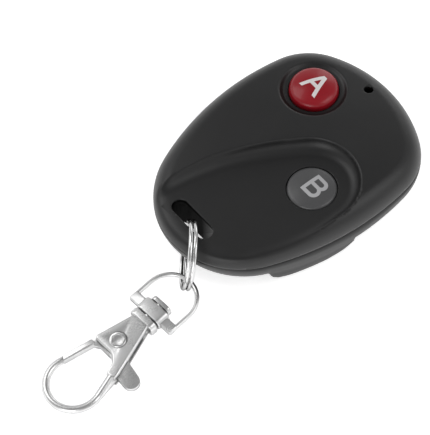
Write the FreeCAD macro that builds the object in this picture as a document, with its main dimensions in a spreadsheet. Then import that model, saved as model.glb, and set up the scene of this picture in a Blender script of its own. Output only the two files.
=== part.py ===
"""Garage door remote: an egg-shaped key fob on a split ring with a swivel trigger clasp.

All sizes are in millimetres. +Z points out of the button face, +Y towards the wide end with the
indicator hole, and the origin lies on the flat belly, under the middle of the fob's outline.
The clasp is modelled in a frame of its own, whose +Y runs along the swivel pin towards the ring,
and is then laid beside the fob by one placement.
"""
import FreeCAD, Part
import math
import os
import Sketcher
from FreeCAD import Placement, Rotation, Vector

document = FreeCAD.newDocument("garage_door_remote")
sheet = document.addObject("Spreadsheet::Sheet", "sizes")

DRIVING_SIZES = [
    # Outline of the fob, seen from above, as tangent arcs from the narrow tip to the wide end
    ("fob_length", 58.0, "narrow tip to wide tip"),
    ("narrow_radius", 17.95, "arc round the key-ring end"),
    ("side_radius", 62.0, "long arc down each side"),
    ("side_centre", 35.06, "how far the side arcs' centres lie from the narrow tip"),
    ("corner_radius", 13.45, "arc at each shoulder of the wide end"),
    ("wide_radius", 28.9, "arc across the wide end"),
    # Height profile of the fob
    ("fob_height", 14.2, "belly to the top of the crown"),
    ("parting_height", 8.3, "plane where the two shells meet"),
    ("crown_radius", 200.0, "slight dome of the button face"),
    ("upper_edge_radius", 4.6, "roll of the upper shell's edge"),
    ("belly_radius", 150.0, "slight dome of the underside"),
    ("belly_centre", 2.0, "lowest point of the belly, towards the wide end"),
    ("belly_flat", 0.4, "how much of the belly's dome is flattened to rest on"),
    ("lower_edge_radius", 5.2, "roll of the lower shell's edge"),
    ("shell_wall", 1.3, "wall of both shells"),
    ("lip_height", 0.8, "tongue of the lower shell inside the upper one"),
    ("lip_gap", 0.06, "tongue to its groove"),
    ("seat_gap", 0.02, "between pieces that rest or grip on each other"),
    ("seam_depth", 0.2, "groove that shows where the shells meet"),
    # Comma-shaped scoop round button B
    ("scoop_floor", 11.4, "height of its flat floor"),
    ("scoop_end_radius", 10.0, "round end beyond button B"),
    ("scoop_end_side", 9.1, "centre of that end, across the fob"),
    ("scoop_end_along", 0.3, "centre of that end, along the fob"),
    ("scoop_wall_radius", 2.6, "soft foot of the scoop's wall"),
    # Dish round button A
    ("dish_radius", 6.9, "rim of the dish"),
    ("dish_floor", 12.3, "height of the dish's floor"),
    ("dish_foot_radius", 1.1, "soft foot of the dish's wall"),
    # Buttons
    ("button_radius", 5.2, "coloured cap"),
    ("button_gap", 0.15, "between a cap and its hole"),
    ("button_crown", 0.55, "rise of a cap's domed top"),
    ("button_edge", 0.5, "rounding of a cap's rim"),
    ("button_wall", 0.9, "skirt and ceiling of a cap"),
    ("button_travel", 0.5, "press"),
    ("flange_radius", 6.1, "flange that keeps a cap in its shell"),
    ("flange_thickness", 0.6, "thickness of that flange"),
    ("flange_play", 0.05, "flange under the shell's ceiling"),
    ("cap_boss_radius", 1.6, "boss in a cap that presses the plunger"),
    ("button_a_side", -8.3, "button A across the fob"),
    ("button_a_along", 15.5, "button A along the fob"),
    ("button_a_top", 14.8, "highest point of button A"),
    ("button_b_side", 9.5, "button B across the fob"),
    ("button_b_along", -0.1, "button B along the fob"),
    ("button_b_top", 12.2, "highest point of button B"),
    ("letter_size", 5.2, "height of the letters"),
    ("letter_stroke", 0.8, "width of their strokes"),
    ("letter_depth", 0.2, "depth of the inlay"),
    # Indicator
    ("indicator_side", -1.0, "indicator hole across the fob"),
    ("indicator_along", 24.2, "indicator hole along the fob"),
    ("indicator_hole_radius", 1.05, "hole in the shell"),
    ("lamp_radius", 1.5, "lens of the lamp under it"),
    ("lamp_skirt", 0.3, "skirt at the lamp's foot, beyond its lens"),
    ("lamp_skirt_height", 0.9, "height of that skirt"),
    ("lamp_shoulder", 3.8, "height at which the lens starts to round"),
    ("lamp_height", 4.9, "top of the lens above the board"),
    # Key-ring slot
    ("slot_side", -0.5, "middle of the slot across the fob"),
    ("slot_along", -23.3, "middle of the slot along the fob"),
    ("slot_spacing", 7.8, "between the centres of its round ends"),
    ("slot_width", 3.6, "at the button face"),
    ("slot_waist", 4.8, "wider passage behind the face"),
    ("slot_mouth", 6.2, "opening in the underside"),
    ("slot_mouth_shift", 1.0, "that opening lies this much nearer the tip"),
    ("slot_mouth_top", 4.8, "height up to which the mouth reaches"),
    ("slot_wall", 1.0, "wall round the passage"),
    # Battery and its hump
    ("battery_radius", 4.0, "small 12 V cell"),
    ("battery_length", 28.0, "nipple included"),
    ("nipple_length", 0.8, "nipple of the cell"),
    ("nipple_radius", 1.6, "nipple of the cell"),
    ("sleeve_thickness", 0.1, "printed film round the can"),
    ("battery_along", -9.6, "axis of the cell along the fob"),
    ("battery_gap", 0.25, "room round the cell"),
    ("hump_inset", 0.3, "hump inside the fob's outline"),
    ("hump_edge_radius", 2.4, "roll of the hump's ends"),
    ("hump_front", 7.6, "steep foot of the hump before the cell's axis"),
    ("hump_back", 11.5, "gentle foot of the hump behind the cell's axis"),
    ("contact_thickness", 0.3, "sheet contacts"),
    ("contact_wire", 0.35, "wire of the battery spring"),
    ("contact_room", 1.5, "room for the battery spring"),
    # Circuit board and what stands on it
    ("board_height", 4.0, "underside of the board"),
    ("board_thickness", 1.0, "thickness of the board"),
    ("board_inset", 2.5, "board inside the fob's outline"),
    ("board_front", -4.6, "straight front edge along the fob"),
    ("switch_side", 6.0, "square body of a switch"),
    ("switch_height", 3.5, "body of a switch"),
    ("switch_cover", 0.3, "metal cover of a switch"),
    ("stem_radius", 1.7, "plunger of a switch"),
    ("stem_reach", 0.8, "plunger above the switch"),
    ("stem_gap", 0.1, "plunger to its hole in the switch"),
    ("switch_floor", 1.0, "floor of the switch's well above the board"),
    ("stem_play", 0.3, "plunger above that floor when it is pressed"),
    ("resonator_radius", 4.1, "can of the resonator"),
    ("resonator_rim", 0.4, "width of its welded rim"),
    ("resonator_rim_height", 0.5, "height of that rim"),
    ("resonator_height", 3.2, "top of the can above the board"),
    # Case screws
    ("screw_radius", 0.95, "shank"),
    ("screw_head_radius", 1.8, "head"),
    ("screw_head_height", 1.1, "head"),
    ("screw_length", 6.0, "shank under the head"),
    ("screw_recess", 1.7, "head below the belly"),
    ("screw_boss_wall", 1.1, "wall of a boss round its screw"),
    ("screw_point", 0.8, "length of its point"),
    ("screw_drive", 2.2, "length of its cross slot"),
    ("screw_drive_width", 0.5, "width of that slot"),
    ("screw_drive_depth", 0.6, "depth of that slot"),
    # Split ring
    ("ring_radius", 6.95, "middle of the wire to the ring's centre"),
    ("ring_wire", 0.75, "diameter of its wire"),
    ("ring_pitch", 1.18, "step from one turn to the other"),
    ("ring_flat_turn", 0.75, "share of a turn that each strand lies flat"),
    ("ring_lift", 0.25, "lowest strand above the ground"),
    ("ring_yaw", 50.0, "ring turned from the fob's axis, degrees"),
    ("ring_lean", 9.8, "ring leaning from the vertical, degrees"),
    ("ring_seam", 115.0, "where its step lies, degrees from the slot"),
    ("ring_slot_side", -1.0, "ring's wire from the middle of the slot, across the fob"),
    ("ring_slot_along", -0.15, "ring's wire from the middle of the slot, along the fob"),
    # Clasp, measured from the middle of the bail's hub
    ("clasp_turn", 4.5, "clasp turned from the fob's axis, degrees"),
    ("clasp_pitch", 4.8, "rise of the clasp from its hook to the ring, degrees"),
    ("clasp_height", 3.2, "middle of the hub above the ground"),
    ("link_gap", 0.68, "bail's wire inside the ring's wire"),
    ("link_side", 0.15, "crown of the bail beside the ring's plane"),
    ("loop_reach", 10.05, "hub to the crown of the bail's loop"),
    ("loop_radius", 5.62, "middle of the bail's wire"),
    ("loop_wire", 1.0, "diameter of the bail's wire"),
    ("shoulder_half_width", 6.0, "outside of the bail's square shoulders"),
    ("shoulder_length", 2.25, "shoulders along the pin"),
    ("shoulder_thickness", 1.5, "height of the shoulders"),
    ("shoulder_rounding", 0.35, "rounding of their edges"),
    ("hub_half_width", 3.3, "flat-sided hub of the bail, across"),
    ("hub_half_height", 1.65, "flat-sided hub of the bail, upwards"),
    ("hub_corner", 1.2, "rounding of its four long edges"),
    ("hub_length", 3.05, "hub along the pin"),
    ("hub_rounding", 0.3, "rounding of its edges"),
    ("pin_radius", 1.2, "swivel pin"),
    ("pin_clearance", 0.08, "running fit of the pin in the hub"),
    ("pin_root", 1.2, "pin held in the clasp's neck"),
    ("pin_head_half_width", 2.45, "head of the pin, across"),
    ("pin_head_half_height", 1.3, "head of the pin, upwards"),
    ("pin_head_height", 1.05, "head of the pin"),
    ("pin_head_rounding", 0.35, "rounding of the head's front"),
    ("swivel_play", 0.28, "end play of the bail on its pin"),
    ("collar_half_width", 3.2, "flat-sided collar of the clasp, across"),
    ("collar_half_height", 1.8, "flat-sided collar of the clasp, upwards"),
    ("collar_length", 1.6, "collar of the clasp"),
    ("neck_length", 1.6, "solid neck between the collar and the cheeks' slot"),
    ("cheek_half_height", 1.7, "outside of the two cheeks"),
    ("cheek_top", -3.3, "upper end of the cheeks along the clasp"),
    ("cheek_half_width", 2.05, "cheeks at their upper end"),
    ("cheek_gate_slant", 13.7, "edge of the cheeks on the gate's side, degrees"),
    ("cheek_spine_slant", 17.4, "edge of the cheeks on the spine's side, degrees"),
    ("cheek_end", -12.4, "lower end of the cheeks on the gate's side"),
    ("cheek_tail", -16.0, "lower end of the cheeks on the spine's side"),
    ("cheek_rounding", 0.45, "rolled edge of the cheeks"),
    ("lever_half_height", 0.6, "plate of the lever"),
    ("lever_gap", 0.15, "lever to each cheek"),
    ("rivet_along", -9.58, "rivet from the middle of the hub"),
    ("rivet_radius", 1.0, "shank of the rivet"),
    ("rivet_head_radius", 1.75, "head of the rivet"),
    ("rivet_head_height", 0.35, "head of the rivet"),
    ("rivet_dimple", 1.05, "dimple in the rivet's head"),
    ("rivet_clearance", 0.06, "running fit of the lever on the rivet"),
    ("hook_along", -21.76, "centre of the hook's round part along the clasp"),
    ("hook_radius", 5.77, "middle of the hook's wire"),
    ("hook_wire", 1.65, "diameter of the hook at its spine"),
    ("hook_foot_width", 2.1, "width of the hook's oval foot"),
    ("hook_spine", 5.1, "length of the straight spine"),
    ("nose_wire", 1.5, "diameter of the hook at its nose"),
    ("nose_reach", 0.7, "straight length of the nose, up to its slanted cut"),
    ("nose_cut", 42.0, "slant of that cut, degrees"),
    ("nose_gap", 0.15, "gate to the hook's nose"),
    ("spine_slant", 12.0, "spine to the clasp's axis, degrees"),
    ("gate_slant", 13.5, "gate to the clasp's axis, degrees"),
    ("gate_length", 7.8, "gate bar from the foot of the nose"),
    ("gate_width", 1.4, "gate bar"),
    ("gate_half_height", 0.95, "gate bar"),
    ("tab_radius", 1.75, "round end of the thumb tab"),
    ("tab_side", 8.1, "centre of that end across the clasp"),
    ("tab_along", -13.7, "centre of that end along the clasp"),
    ("gate_spring_wire", 0.3, "wire of the gate's spring"),
    ("spring_well_radius", 1.95, "well for that spring in the lever"),
    ("spring_well_depth", 0.45, "well for that spring in the lever"),
]
for row, (alias, value, meaning) in enumerate(DRIVING_SIZES, start=1):
    sheet.set(f"A{row}", meaning)
    sheet.set(f"B{row}", str(value))
    sheet.setAlias(f"B{row}", alias)
document.recompute()


def size(alias):
    """Value of one driving size."""
    return float(sheet.get(alias))


def plate_shape(points, low, high):
    """Prism between two heights over a closed outline of points and arcs.

    A corner is a pair (x, y). A triple-point arc is written as the pair that it passes
    through, marked with the word arc: ("arc", x, y).
    """
    edges = []
    outline = list(points) + [points[0]]
    start = Vector(outline[0][0], outline[0][1], low)
    through = None
    for point in outline[1:]:
        if point[0] == "arc":
            through = Vector(point[1], point[2], low)
            continue
        end = Vector(point[0], point[1], low)
        if through is None:
            edges.append(Part.makeLine(start, end))
        else:
            edges.append(Part.Arc(start, through, end).toShape())
        start = end
        through = None
    return Part.Face(Part.Wire(edges)).extrude(Vector(0, 0, high - low))


def edges_at_height(shape, height, slack=0.01):
    """Edges that lie wholly in the level plane at a height."""
    return [edge for edge in shape.Edges
            if all(abs(vertex.Z - height) < slack for vertex in edge.Vertexes)
            and abs(edge.BoundBox.ZMax - edge.BoundBox.ZMin) < slack]


def polar(centre, radius, angle):
    """Point on a circle in the XY plane, the angle in degrees."""
    turn = math.radians(angle)
    return Vector(centre.x + radius * math.cos(turn), centre.y + radius * math.sin(turn), centre.z)


def angle_of(vector):
    """Direction of a vector in the XY plane, in degrees."""
    return math.degrees(math.atan2(vector.y, vector.x))


def arc_edge(centre, radius, start_angle, end_angle):
    """Arc in a level plane between two angles in degrees."""
    middle_angle = 0.5 * (start_angle + end_angle)
    return Part.Arc(polar(centre, radius, start_angle),
                    polar(centre, radius, middle_angle),
                    polar(centre, radius, end_angle)).toShape()


def add_feature(label, shape, placement=None):
    """Sub-part whose shape is worked out with the functions of the Part module."""
    feature = document.addObject("Part::Feature", label)
    feature.Label = label
    feature.Shape = shape
    if placement is not None:
        feature.Placement = placement
    return feature


def bind(target, **expressions):
    """Tie properties of an object to the sheet; a double underscore stands for a dot."""
    for name, expression in expressions.items():
        target.setExpression(name.replace("__", "."), expression)


def origin_plane(body, role):
    """One of a body's own origin planes."""
    return next(item for item in body.Origin.OriginFeatures if item.Role == role)


def turned_body(label, profile, dome=None, place=None):
    """Body of revolution about its own Z axis.

    The profile is a list of (radius, height) expressions, closed by the axis. The segment
    that starts at the point numbered by dome is an arc with its centre on the axis.
    """
    body = document.addObject("PartDesign::Body", label)
    body.Label = label
    sketch = body.newObject("Sketcher::SketchObject", label + "_profile")
    sketch.AttachmentSupport = (origin_plane(body, "XZ_Plane"), [""])
    sketch.MapMode = "FlatFace"
    evaluate = sketch.evalExpression
    corners = [Vector(float(evaluate(across)), float(evaluate(up)), 0) for across, up in profile]
    count = len(corners)
    for index, corner in enumerate(corners):
        following = corners[(index + 1) % count]
        if index == dome:
            rim = corner if corner.x > 0 else following
            top = following if corner.x > 0 else corner
            rise = top.y - rim.y
            radius = (rim.x ** 2 + rise ** 2) / (2 * rise)
            circle = Part.Circle(Vector(0, top.y - radius, 0), Vector(0, 0, 1), radius)
            first = math.atan2(rim.y - top.y + radius, rim.x)
            sketch.addGeometry(Part.ArcOfCircle(circle, first, math.pi / 2))
        else:
            sketch.addGeometry(Part.LineSegment(corner, following))
    for index in range(count):
        following = (index + 1) % count
        sketch.addConstraint(Sketcher.Constraint("Coincident", index, 2, following, 1))
    if dome is not None:
        sketch.addConstraint(Sketcher.Constraint("PointOnObject", dome, 3, -2))
    for index, (across, up) in enumerate(profile):
        corner = corners[index]
        if corner.x < 1e-9:
            sketch.addConstraint(Sketcher.Constraint("PointOnObject", index, 1, -2))
        else:
            wide = sketch.addConstraint(
                Sketcher.Constraint("DistanceX", -1, 1, index, 1, corner.x))
            sketch.setExpression(f"Constraints[{wide}]", across)
        if abs(corner.y) < 1e-9:
            sketch.addConstraint(Sketcher.Constraint("PointOnObject", index, 1, -1))
        else:
            tall = sketch.addConstraint(
                Sketcher.Constraint("DistanceY", -1, 1, index, 1, corner.y))
            sketch.setExpression(f"Constraints[{tall}]", up)
    turn = body.newObject("PartDesign::Revolution", label + "_turn")
    turn.Profile = sketch
    turn.ReferenceAxis = (sketch, ["V_Axis"])
    turn.Angle = 360
    if place:
        bind(body, **place)
    document.recompute()
    return body


def rounded_rim(body, radius_value, height_value, rounding):
    """Fillet on the round edge of a body at a given radius and height above its origin."""
    base = body.Tip
    names = []
    for number, edge in enumerate(base.Shape.Edges, start=1):
        ends = [vertex.Point for vertex in edge.Vertexes]
        on_rim = [abs(math.hypot(end.x, end.y) - radius_value) < 1e-4
                  and abs(end.z - height_value) < 1e-4 for end in ends]
        if all(on_rim) and len(set(on_rim)) == 1 and edge.Length > radius_value:
            names.append(f"Edge{number}")
    fillet = body.newObject("PartDesign::Fillet", body.Label + "_rim")
    fillet.Base = (base, names)
    fillet.setExpression("Radius", rounding)
    document.recompute()
    return fillet


# Outline of the fob: six tangent arcs, the same on both sides of the Y axis
def outline_centres():
    """Centres of the four kinds of arc, for the right-hand side."""
    half = size("fob_length") / 2
    narrow = size("narrow_radius")
    side = size("side_radius")
    corner = size("corner_radius")
    wide = size("wide_radius")
    narrow_centre = Vector(0, narrow - half, 0)
    side_rise = size("side_centre") - narrow
    side_centre = Vector(-math.sqrt((side - narrow) ** 2 - side_rise ** 2),
                         size("side_centre") - half, 0)
    wide_centre = Vector(0, half - wide, 0)
    span = wide_centre - side_centre
    along = ((side - corner) ** 2 - (wide - corner) ** 2 + span.Length ** 2) / (2 * span.Length)
    offset = math.sqrt((side - corner) ** 2 - along ** 2)
    unit = Vector(span).normalize()
    across = Vector(-unit.y, unit.x, 0)
    corner_centre = side_centre + unit * along + across * offset
    return narrow_centre, side_centre, corner_centre, wide_centre


def outline_wire(inset, height):
    """Closed outline of the fob, moved inwards by an inset."""
    narrow_centre, side_centre, corner_centre, wide_centre = outline_centres()
    low_angle = angle_of(narrow_centre - side_centre)
    side_angle = angle_of(corner_centre - side_centre)
    high_angle = angle_of(corner_centre - wide_centre)
    arcs = [
        (narrow_centre, size("narrow_radius"), -180 - low_angle, low_angle),
        (side_centre, size("side_radius"), low_angle, side_angle),
        (corner_centre, size("corner_radius"), side_angle, high_angle),
        (wide_centre, size("wide_radius"), high_angle, 180 - high_angle),
        (corner_centre, size("corner_radius"), 180 - high_angle, 180 - side_angle),
        (side_centre, size("side_radius"), 180 - side_angle, 180 - low_angle),
    ]
    edges = []
    for number, (centre, radius, start_angle, end_angle) in enumerate(arcs):
        mirror = -1 if number > 3 else 1
        level = Vector(mirror * centre.x, centre.y, height)
        edges.append(arc_edge(level, radius - inset, start_angle, end_angle))
    return Part.Wire(edges)


def outline_slab(inset, low, high):
    """Prism over the fob's outline."""
    return Part.Face(outline_wire(inset, low)).extrude(Vector(0, 0, high - low))


def big_ball(radius, along, lowest=None, highest=None):
    """Ball whose poles and seam lie far from the face that it shapes."""
    height = highest - radius if highest is not None else lowest + radius
    centre = Vector(0, along, height)
    ball = Part.makeSphere(radius, centre, Vector(1, 0, 0))
    ball.rotate(centre, Vector(1, 0, 0), 0 if highest is None else 180)
    return ball


def upper_dome(inset, top, edge_radius, low):
    """Crowned prism with a rolled upper edge."""
    slab = outline_slab(inset, low, top + 1)
    dome = slab.common(big_ball(size("crown_radius") - inset, 0, highest=top))
    rim = [edge for edge in dome.Edges
           if all(vertex.Z > low + 0.5 for vertex in edge.Vertexes)]
    return dome.makeFillet(edge_radius, rim)


def lower_bowl(inset, bottom, edge_radius, high):
    """Prism with a domed underside and a rolled lower edge."""
    slab = outline_slab(inset, bottom - 1, high)
    bowl = slab.common(big_ball(size("belly_radius") - inset, size("belly_centre"), lowest=bottom))
    rim = [edge for edge in bowl.Edges
           if all(vertex.Z < high - 0.05 for vertex in edge.Vertexes)]
    return bowl.makeFillet(edge_radius, rim)


def oblong(width, low, high, shift=0.0):
    """Prism of the key-ring slot's oblong at a given width, moved towards the tip by a shift."""
    half = size("slot_spacing") / 2
    radius = width / 2
    left = size("slot_side") - half
    right = size("slot_side") + half
    along = size("slot_along") - shift
    return plate_shape([(left, along - radius), (right, along - radius),
                        ("arc", right + radius, along), (right, along + radius),
                        (left, along + radius), ("arc", left - radius, along)], low, high)


def soft_foot(tool, floor, radius):
    """Tool with its lower edge rounded, so that a wall that it cuts runs softly into its floor."""
    return tool.makeFillet(radius, edges_at_height(tool, floor))


SCOOP_DRAWN_AT = 58.0


def scoop_tool(grow, floor, high):
    """Prism of the comma-shaped scoop, open towards the key-ring end."""
    centre = Vector(size("scoop_end_side"), size("scoop_end_along"), 0)
    radius = size("scoop_end_radius") + grow
    left_high = polar(centre, radius, 142)
    crest_top = polar(centre, radius, 60)
    right_high = polar(centre, radius, -4)
    unit = size("fob_length") / SCOOP_DRAWN_AT
    return plate_shape([
        (-10.4 * unit - grow, -33.0 * unit),
        ("arc", -9.9 * unit - grow, -19.5 * unit), (-8.1 * unit - grow, -11.0 * unit),
        ("arc", -4.2 * unit - grow, -2.1 * unit), (left_high.x, left_high.y),
        ("arc", crest_top.x, crest_top.y), (right_high.x, right_high.y),
        ("arc", 18.3 * unit + grow, -10.5 * unit), (15.2 * unit + grow, -19.5 * unit),
        ("arc", 12.1 * unit + grow, -24.6 * unit - grow), (7.0 * unit, -27.6 * unit - grow),
        ("arc", 2.0 * unit, -29.6 * unit - grow), (-3.0 * unit, -33.0 * unit)], floor, high)


def dish_tool(grow, floor, high):
    """Round dish of button A."""
    base = Vector(size("button_a_side"), size("button_a_along"), floor)
    return Part.makeCylinder(size("dish_radius") + grow, high - floor, base)


def hump_tool(inset, bottom, high):
    """Rounded bar across the underside that holds the battery."""
    axis = size("battery_along")
    front = axis - size("hump_front") + inset
    back = axis + size("hump_back") - inset
    flat_front = axis - size("battery_radius") - size("shell_wall") + 1.2 * inset
    flat_back = axis + size("battery_radius") + 0.8
    reach = size("corner_radius") + size("wide_radius")
    outline = [Vector(-reach, front, bottom + 5.0), Vector(-reach, front + 0.9, bottom + 1.6),
               Vector(-reach, flat_front + 1.4, bottom), Vector(-reach, flat_back, bottom),
               Vector(-reach, back - 3.0, bottom + 1.4), Vector(-reach, back, bottom + 3.6),
               Vector(-reach, back, high), Vector(-reach, front, high)]
    face = Part.Face(Part.makePolygon(outline + [outline[0]]))
    bar = face.extrude(Vector(2 * reach, 0, 0))
    tub = outline_slab(size("hump_inset") + inset, bottom, high)
    tub = tub.makeFillet(size("hump_edge_radius") - 0.5 * inset, edges_at_height(tub, bottom))
    return bar.common(tub)


# Places of the case screws, across and along the fob
SCREW_PLACES = [(14.6, 16.6), (-14.6, 3.0), (-0.5, -17.6)]


def screw_boss(place, low, high, radius):
    """Round boss about one screw."""
    return Part.makeCylinder(radius, high - low, Vector(place[0], place[1], low))


parting = size("parting_height")
wall = size("shell_wall")
belly_low = -size("belly_flat")
board_top = size("board_height") + size("board_thickness")
stem_top = board_top + size("switch_height") + size("stem_reach")
boss_radius = size("screw_radius") + size("screw_boss_wall")
lip_middle = wall / 2
lip_gap = size("lip_gap")
seat_gap = size("seat_gap")
screw_seat = size("screw_head_height") + size("screw_recess")
boss_split = size("board_height")


def build_upper_shell():
    """Top half: dome, scoop, dish, holes, slot passage and screw bosses."""
    top = size("fob_height")
    above = top + 6
    outside = upper_dome(0, top, size("upper_edge_radius"), parting)
    scoop = scoop_tool(0, size("scoop_floor"), above)
    outside = outside.cut(soft_foot(scoop, size("scoop_floor"), size("scoop_wall_radius")))
    dish = dish_tool(0, size("dish_floor"), above)
    outside = outside.cut(soft_foot(dish, size("dish_floor"), size("dish_foot_radius")))
    inside = upper_dome(wall, top - wall, size("upper_edge_radius") - wall, parting)
    inside = inside.cut(scoop_tool(wall, size("scoop_floor") - wall, above))
    inside = inside.cut(dish_tool(wall, size("dish_floor") - wall, above))
    passage = size("slot_waist")
    inside = inside.cut(oblong(passage + 2 * size("slot_wall"), parting - 1, above))
    for place in SCREW_PLACES:
        inside = inside.cut(screw_boss(place, parting - 1, above, boss_radius))
    shell = outside.cut(inside)
    for place in SCREW_PLACES:
        low = boss_split if place[1] < size("board_front") else board_top
        shell = shell.fuse(screw_boss(place, low + seat_gap, parting + 0.2, boss_radius))
    lip_room = outline_slab(lip_middle - lip_gap, parting, parting + size("lip_height") + lip_gap)
    lip_room = lip_room.cut(outline_slab(wall + 1.0, parting, parting + 2))
    shell = shell.cut(lip_room.cut(chimney_and_bosses(parting - 1, parting + 3)))
    for name in ("a", "b"):
        base = Vector(size(f"button_{name}_side"), size(f"button_{name}_along"), parting)
        hole = Part.makeCylinder(size("button_radius") + size("button_gap"), above, base)
        shell = shell.cut(hole)
    lamp_base = Vector(size("indicator_side"), size("indicator_along"), parting)
    shell = shell.cut(Part.makeCylinder(size("indicator_hole_radius"), above, lamp_base))
    shell = shell.cut(oblong(size("slot_width"), 0, above))
    shell = shell.cut(oblong(passage, 0, size("scoop_floor") - wall))
    for place in SCREW_PLACES:
        pilot = size("screw_radius") + seat_gap
        pilot_top = screw_seat + size("screw_length") + 0.3
        shell = shell.cut(screw_boss(place, 0, pilot_top, pilot))
    groove = outline_slab(-1, parting, parting + size("seam_depth") / 2)
    groove = groove.cut(outline_slab(size("seam_depth"), parting, parting + 1))
    return shell.cut(groove).removeSplitter()


def chimney_and_bosses(low, high):
    """Outer forms of the slot's passage and the screw bosses, which the lip goes round."""
    solid = oblong(size("slot_waist") + 2 * size("slot_wall"), low, high)
    for place in SCREW_PLACES:
        solid = solid.fuse(screw_boss(place, low, high, boss_radius))
    return solid


def build_lower_shell():
    """Bottom half: bowl, battery hump, lip, slot passage, screw bosses and board posts."""
    outside = lower_bowl(0, belly_low, size("lower_edge_radius"), parting)
    outside = outside.fuse(hump_tool(0, 0, parting - 1.0))
    outside = outside.common(outline_slab(-1, 0, parting))
    inside = lower_bowl(wall, belly_low + wall, size("lower_edge_radius") - wall, parting)
    inside = inside.common(outline_slab(0, wall, parting))
    inside = inside.fuse(hump_tool(wall, wall, parting - 0.5))
    passage = size("slot_waist")
    mouth = size("slot_mouth")
    mouth_shift = size("slot_mouth_shift")
    mouth_top = size("slot_mouth_top")
    inside = inside.cut(oblong(passage + 2 * size("slot_wall"), 0, parting))
    inside = inside.cut(oblong(mouth + 2 * size("slot_wall"), 0, mouth_top + wall, mouth_shift))
    for place in SCREW_PLACES:
        inside = inside.cut(screw_boss(place, 0, boss_split, size("screw_head_radius") + 0.9))
    shell = outside.cut(inside)
    lip = outline_slab(lip_middle, parting - 1, parting + size("lip_height"))
    lip = lip.cut(outline_slab(wall, parting - 2, parting + 2))
    lip = lip.cut(oblong(passage + 2 * size("slot_wall") + 2 * lip_gap, 0, parting + 2))
    shell = shell.fuse(lip)
    shell = shell.cut(oblong(mouth, -1, mouth_top, mouth_shift))
    shell = shell.cut(oblong(passage, 0, parting + 2))
    for place in SCREW_PLACES:
        head_hole = screw_boss(place, -1, screw_seat, size("screw_head_radius") + 0.2)
        shank_hole = screw_boss(place, -1, boss_split + 1, size("screw_radius") + 0.15)
        shell = shell.cut(head_hole).cut(shank_hole)
    groove = outline_slab(-1, parting - size("seam_depth") / 2, parting)
    groove = groove.cut(outline_slab(size("seam_depth"), parting - 1, parting))
    return shell.cut(groove).removeSplitter()


upper_shell = add_feature("upper_shell", build_upper_shell())
lower_shell = add_feature("lower_shell", build_lower_shell())


# Buttons: turned caps with a skirt, a flange that the shell holds, and an inlaid letter
def letter_a_shape(low, high):
    """Letter A as slanted strokes and a bar, centred on the origin."""
    half = 0.47 * size("letter_size")
    up = 0.5 * size("letter_size")
    stroke = size("letter_stroke")
    slant = 0.5 * stroke * math.hypot(up * 2, half) / (up * 2)
    left = plate_shape([(-half, -up), (-half + 2 * slant, -up), (slant, up), (-slant, up)],
                       low, high)
    right = plate_shape([(half - 2 * slant, -up), (half, -up), (slant, up), (-slant, up)],
                        low, high)
    bar_half = 0.5 * half
    bar = plate_shape([(-bar_half, -0.35 * up), (bar_half, -0.35 * up),
                       (bar_half, -0.35 * up + stroke), (-bar_half, -0.35 * up + stroke)],
                      low, high)
    return left.fuse(right).fuse(bar).removeSplitter()


def letter_b_shape(low, high):
    """Letter B as a stem with two bowls, centred on the origin."""
    up = 0.48 * size("letter_size")
    left = -0.36 * size("letter_size")
    bend = 0.12 * size("letter_size")
    stroke = size("letter_stroke")
    reach = 0.37 * size("letter_size")

    def bowl(bottom, top, right, trim):
        middle = 0.5 * (top + bottom)
        outer_edge = right - trim
        return plate_shape([(left + trim, bottom + trim), (bend, bottom + trim),
                            ("arc", outer_edge, middle), (bend, top - trim),
                            (left + trim, top - trim)], low, high)

    waist = 0.03 * size("letter_size")
    solid = bowl(-up, waist + stroke / 2, reach + 0.12, 0)
    solid = solid.fuse(bowl(waist - stroke / 2, up, reach, 0))
    solid = solid.cut(bowl(-up, waist + stroke / 2, reach + 0.12, stroke))
    solid = solid.cut(bowl(waist - stroke / 2, up, reach, stroke))
    return solid.removeSplitter()


STEM_TOP = ("(sizes.board_height + sizes.board_thickness"
            " + sizes.switch_height + sizes.stem_reach)")


def button_blank(name, floor):
    """Cap of one button before its letter is cut in. Its origin is on the switch's plunger."""
    base = f"({STEM_TOP} + sizes.seat_gap)"
    top = f"(sizes.button_{name}_top - {base})"
    flange_bottom = (f"(sizes.{floor} - sizes.shell_wall - sizes.flange_play"
                     f" - sizes.flange_thickness - {base})")
    profile = [
        ("0", "0"),
        ("sizes.cap_boss_radius", "0"),
        ("sizes.cap_boss_radius", f"{top} - sizes.button_crown - sizes.button_wall"),
        ("sizes.button_radius - sizes.button_wall",
         f"{top} - sizes.button_crown - sizes.button_wall"),
        ("sizes.button_radius - sizes.button_wall", flange_bottom),
        ("sizes.flange_radius", flange_bottom),
        ("sizes.flange_radius", f"{flange_bottom} + sizes.flange_thickness"),
        ("sizes.button_radius", f"{flange_bottom} + sizes.flange_thickness"),
        ("sizes.button_radius", f"{top} - sizes.button_crown"),
        ("0", top),
    ]
    place = {"Placement__Base__x": f"sizes.button_{name}_side",
             "Placement__Base__y": f"sizes.button_{name}_along",
             "Placement__Base__z": base}
    body = turned_body(f"button_{name}_blank", profile, dome=8, place=place)
    rim_height = size(f"button_{name}_top") - stem_top - size("seat_gap") - size("button_crown")
    rounded_rim(body, size("button_radius"), rim_height, "sizes.button_edge")
    return body


def build_button(name, letter, floor, shift):
    """Cap with its letter cut in, and the inlaid letter itself."""
    blank = button_blank(name, floor)
    solid = blank.Shape.copy()
    lowered = solid.copy()
    lowered.translate(Vector(0, 0, -size("letter_depth")))
    high = size(f"button_{name}_top") + 1
    prism = letter(high - 3, high)
    prism.translate(Vector(size(f"button_{name}_side") + shift[0],
                           size(f"button_{name}_along") + shift[1], 0))
    inlay = add_feature(f"legend_{name}", prism.common(solid).cut(lowered))
    cap = document.addObject("Part::Cut", f"button_{name}")
    cap.Label = f"button_{name}"
    cap.Base = blank
    cap.Tool = inlay
    document.recompute()
    return cap, inlay


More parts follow.
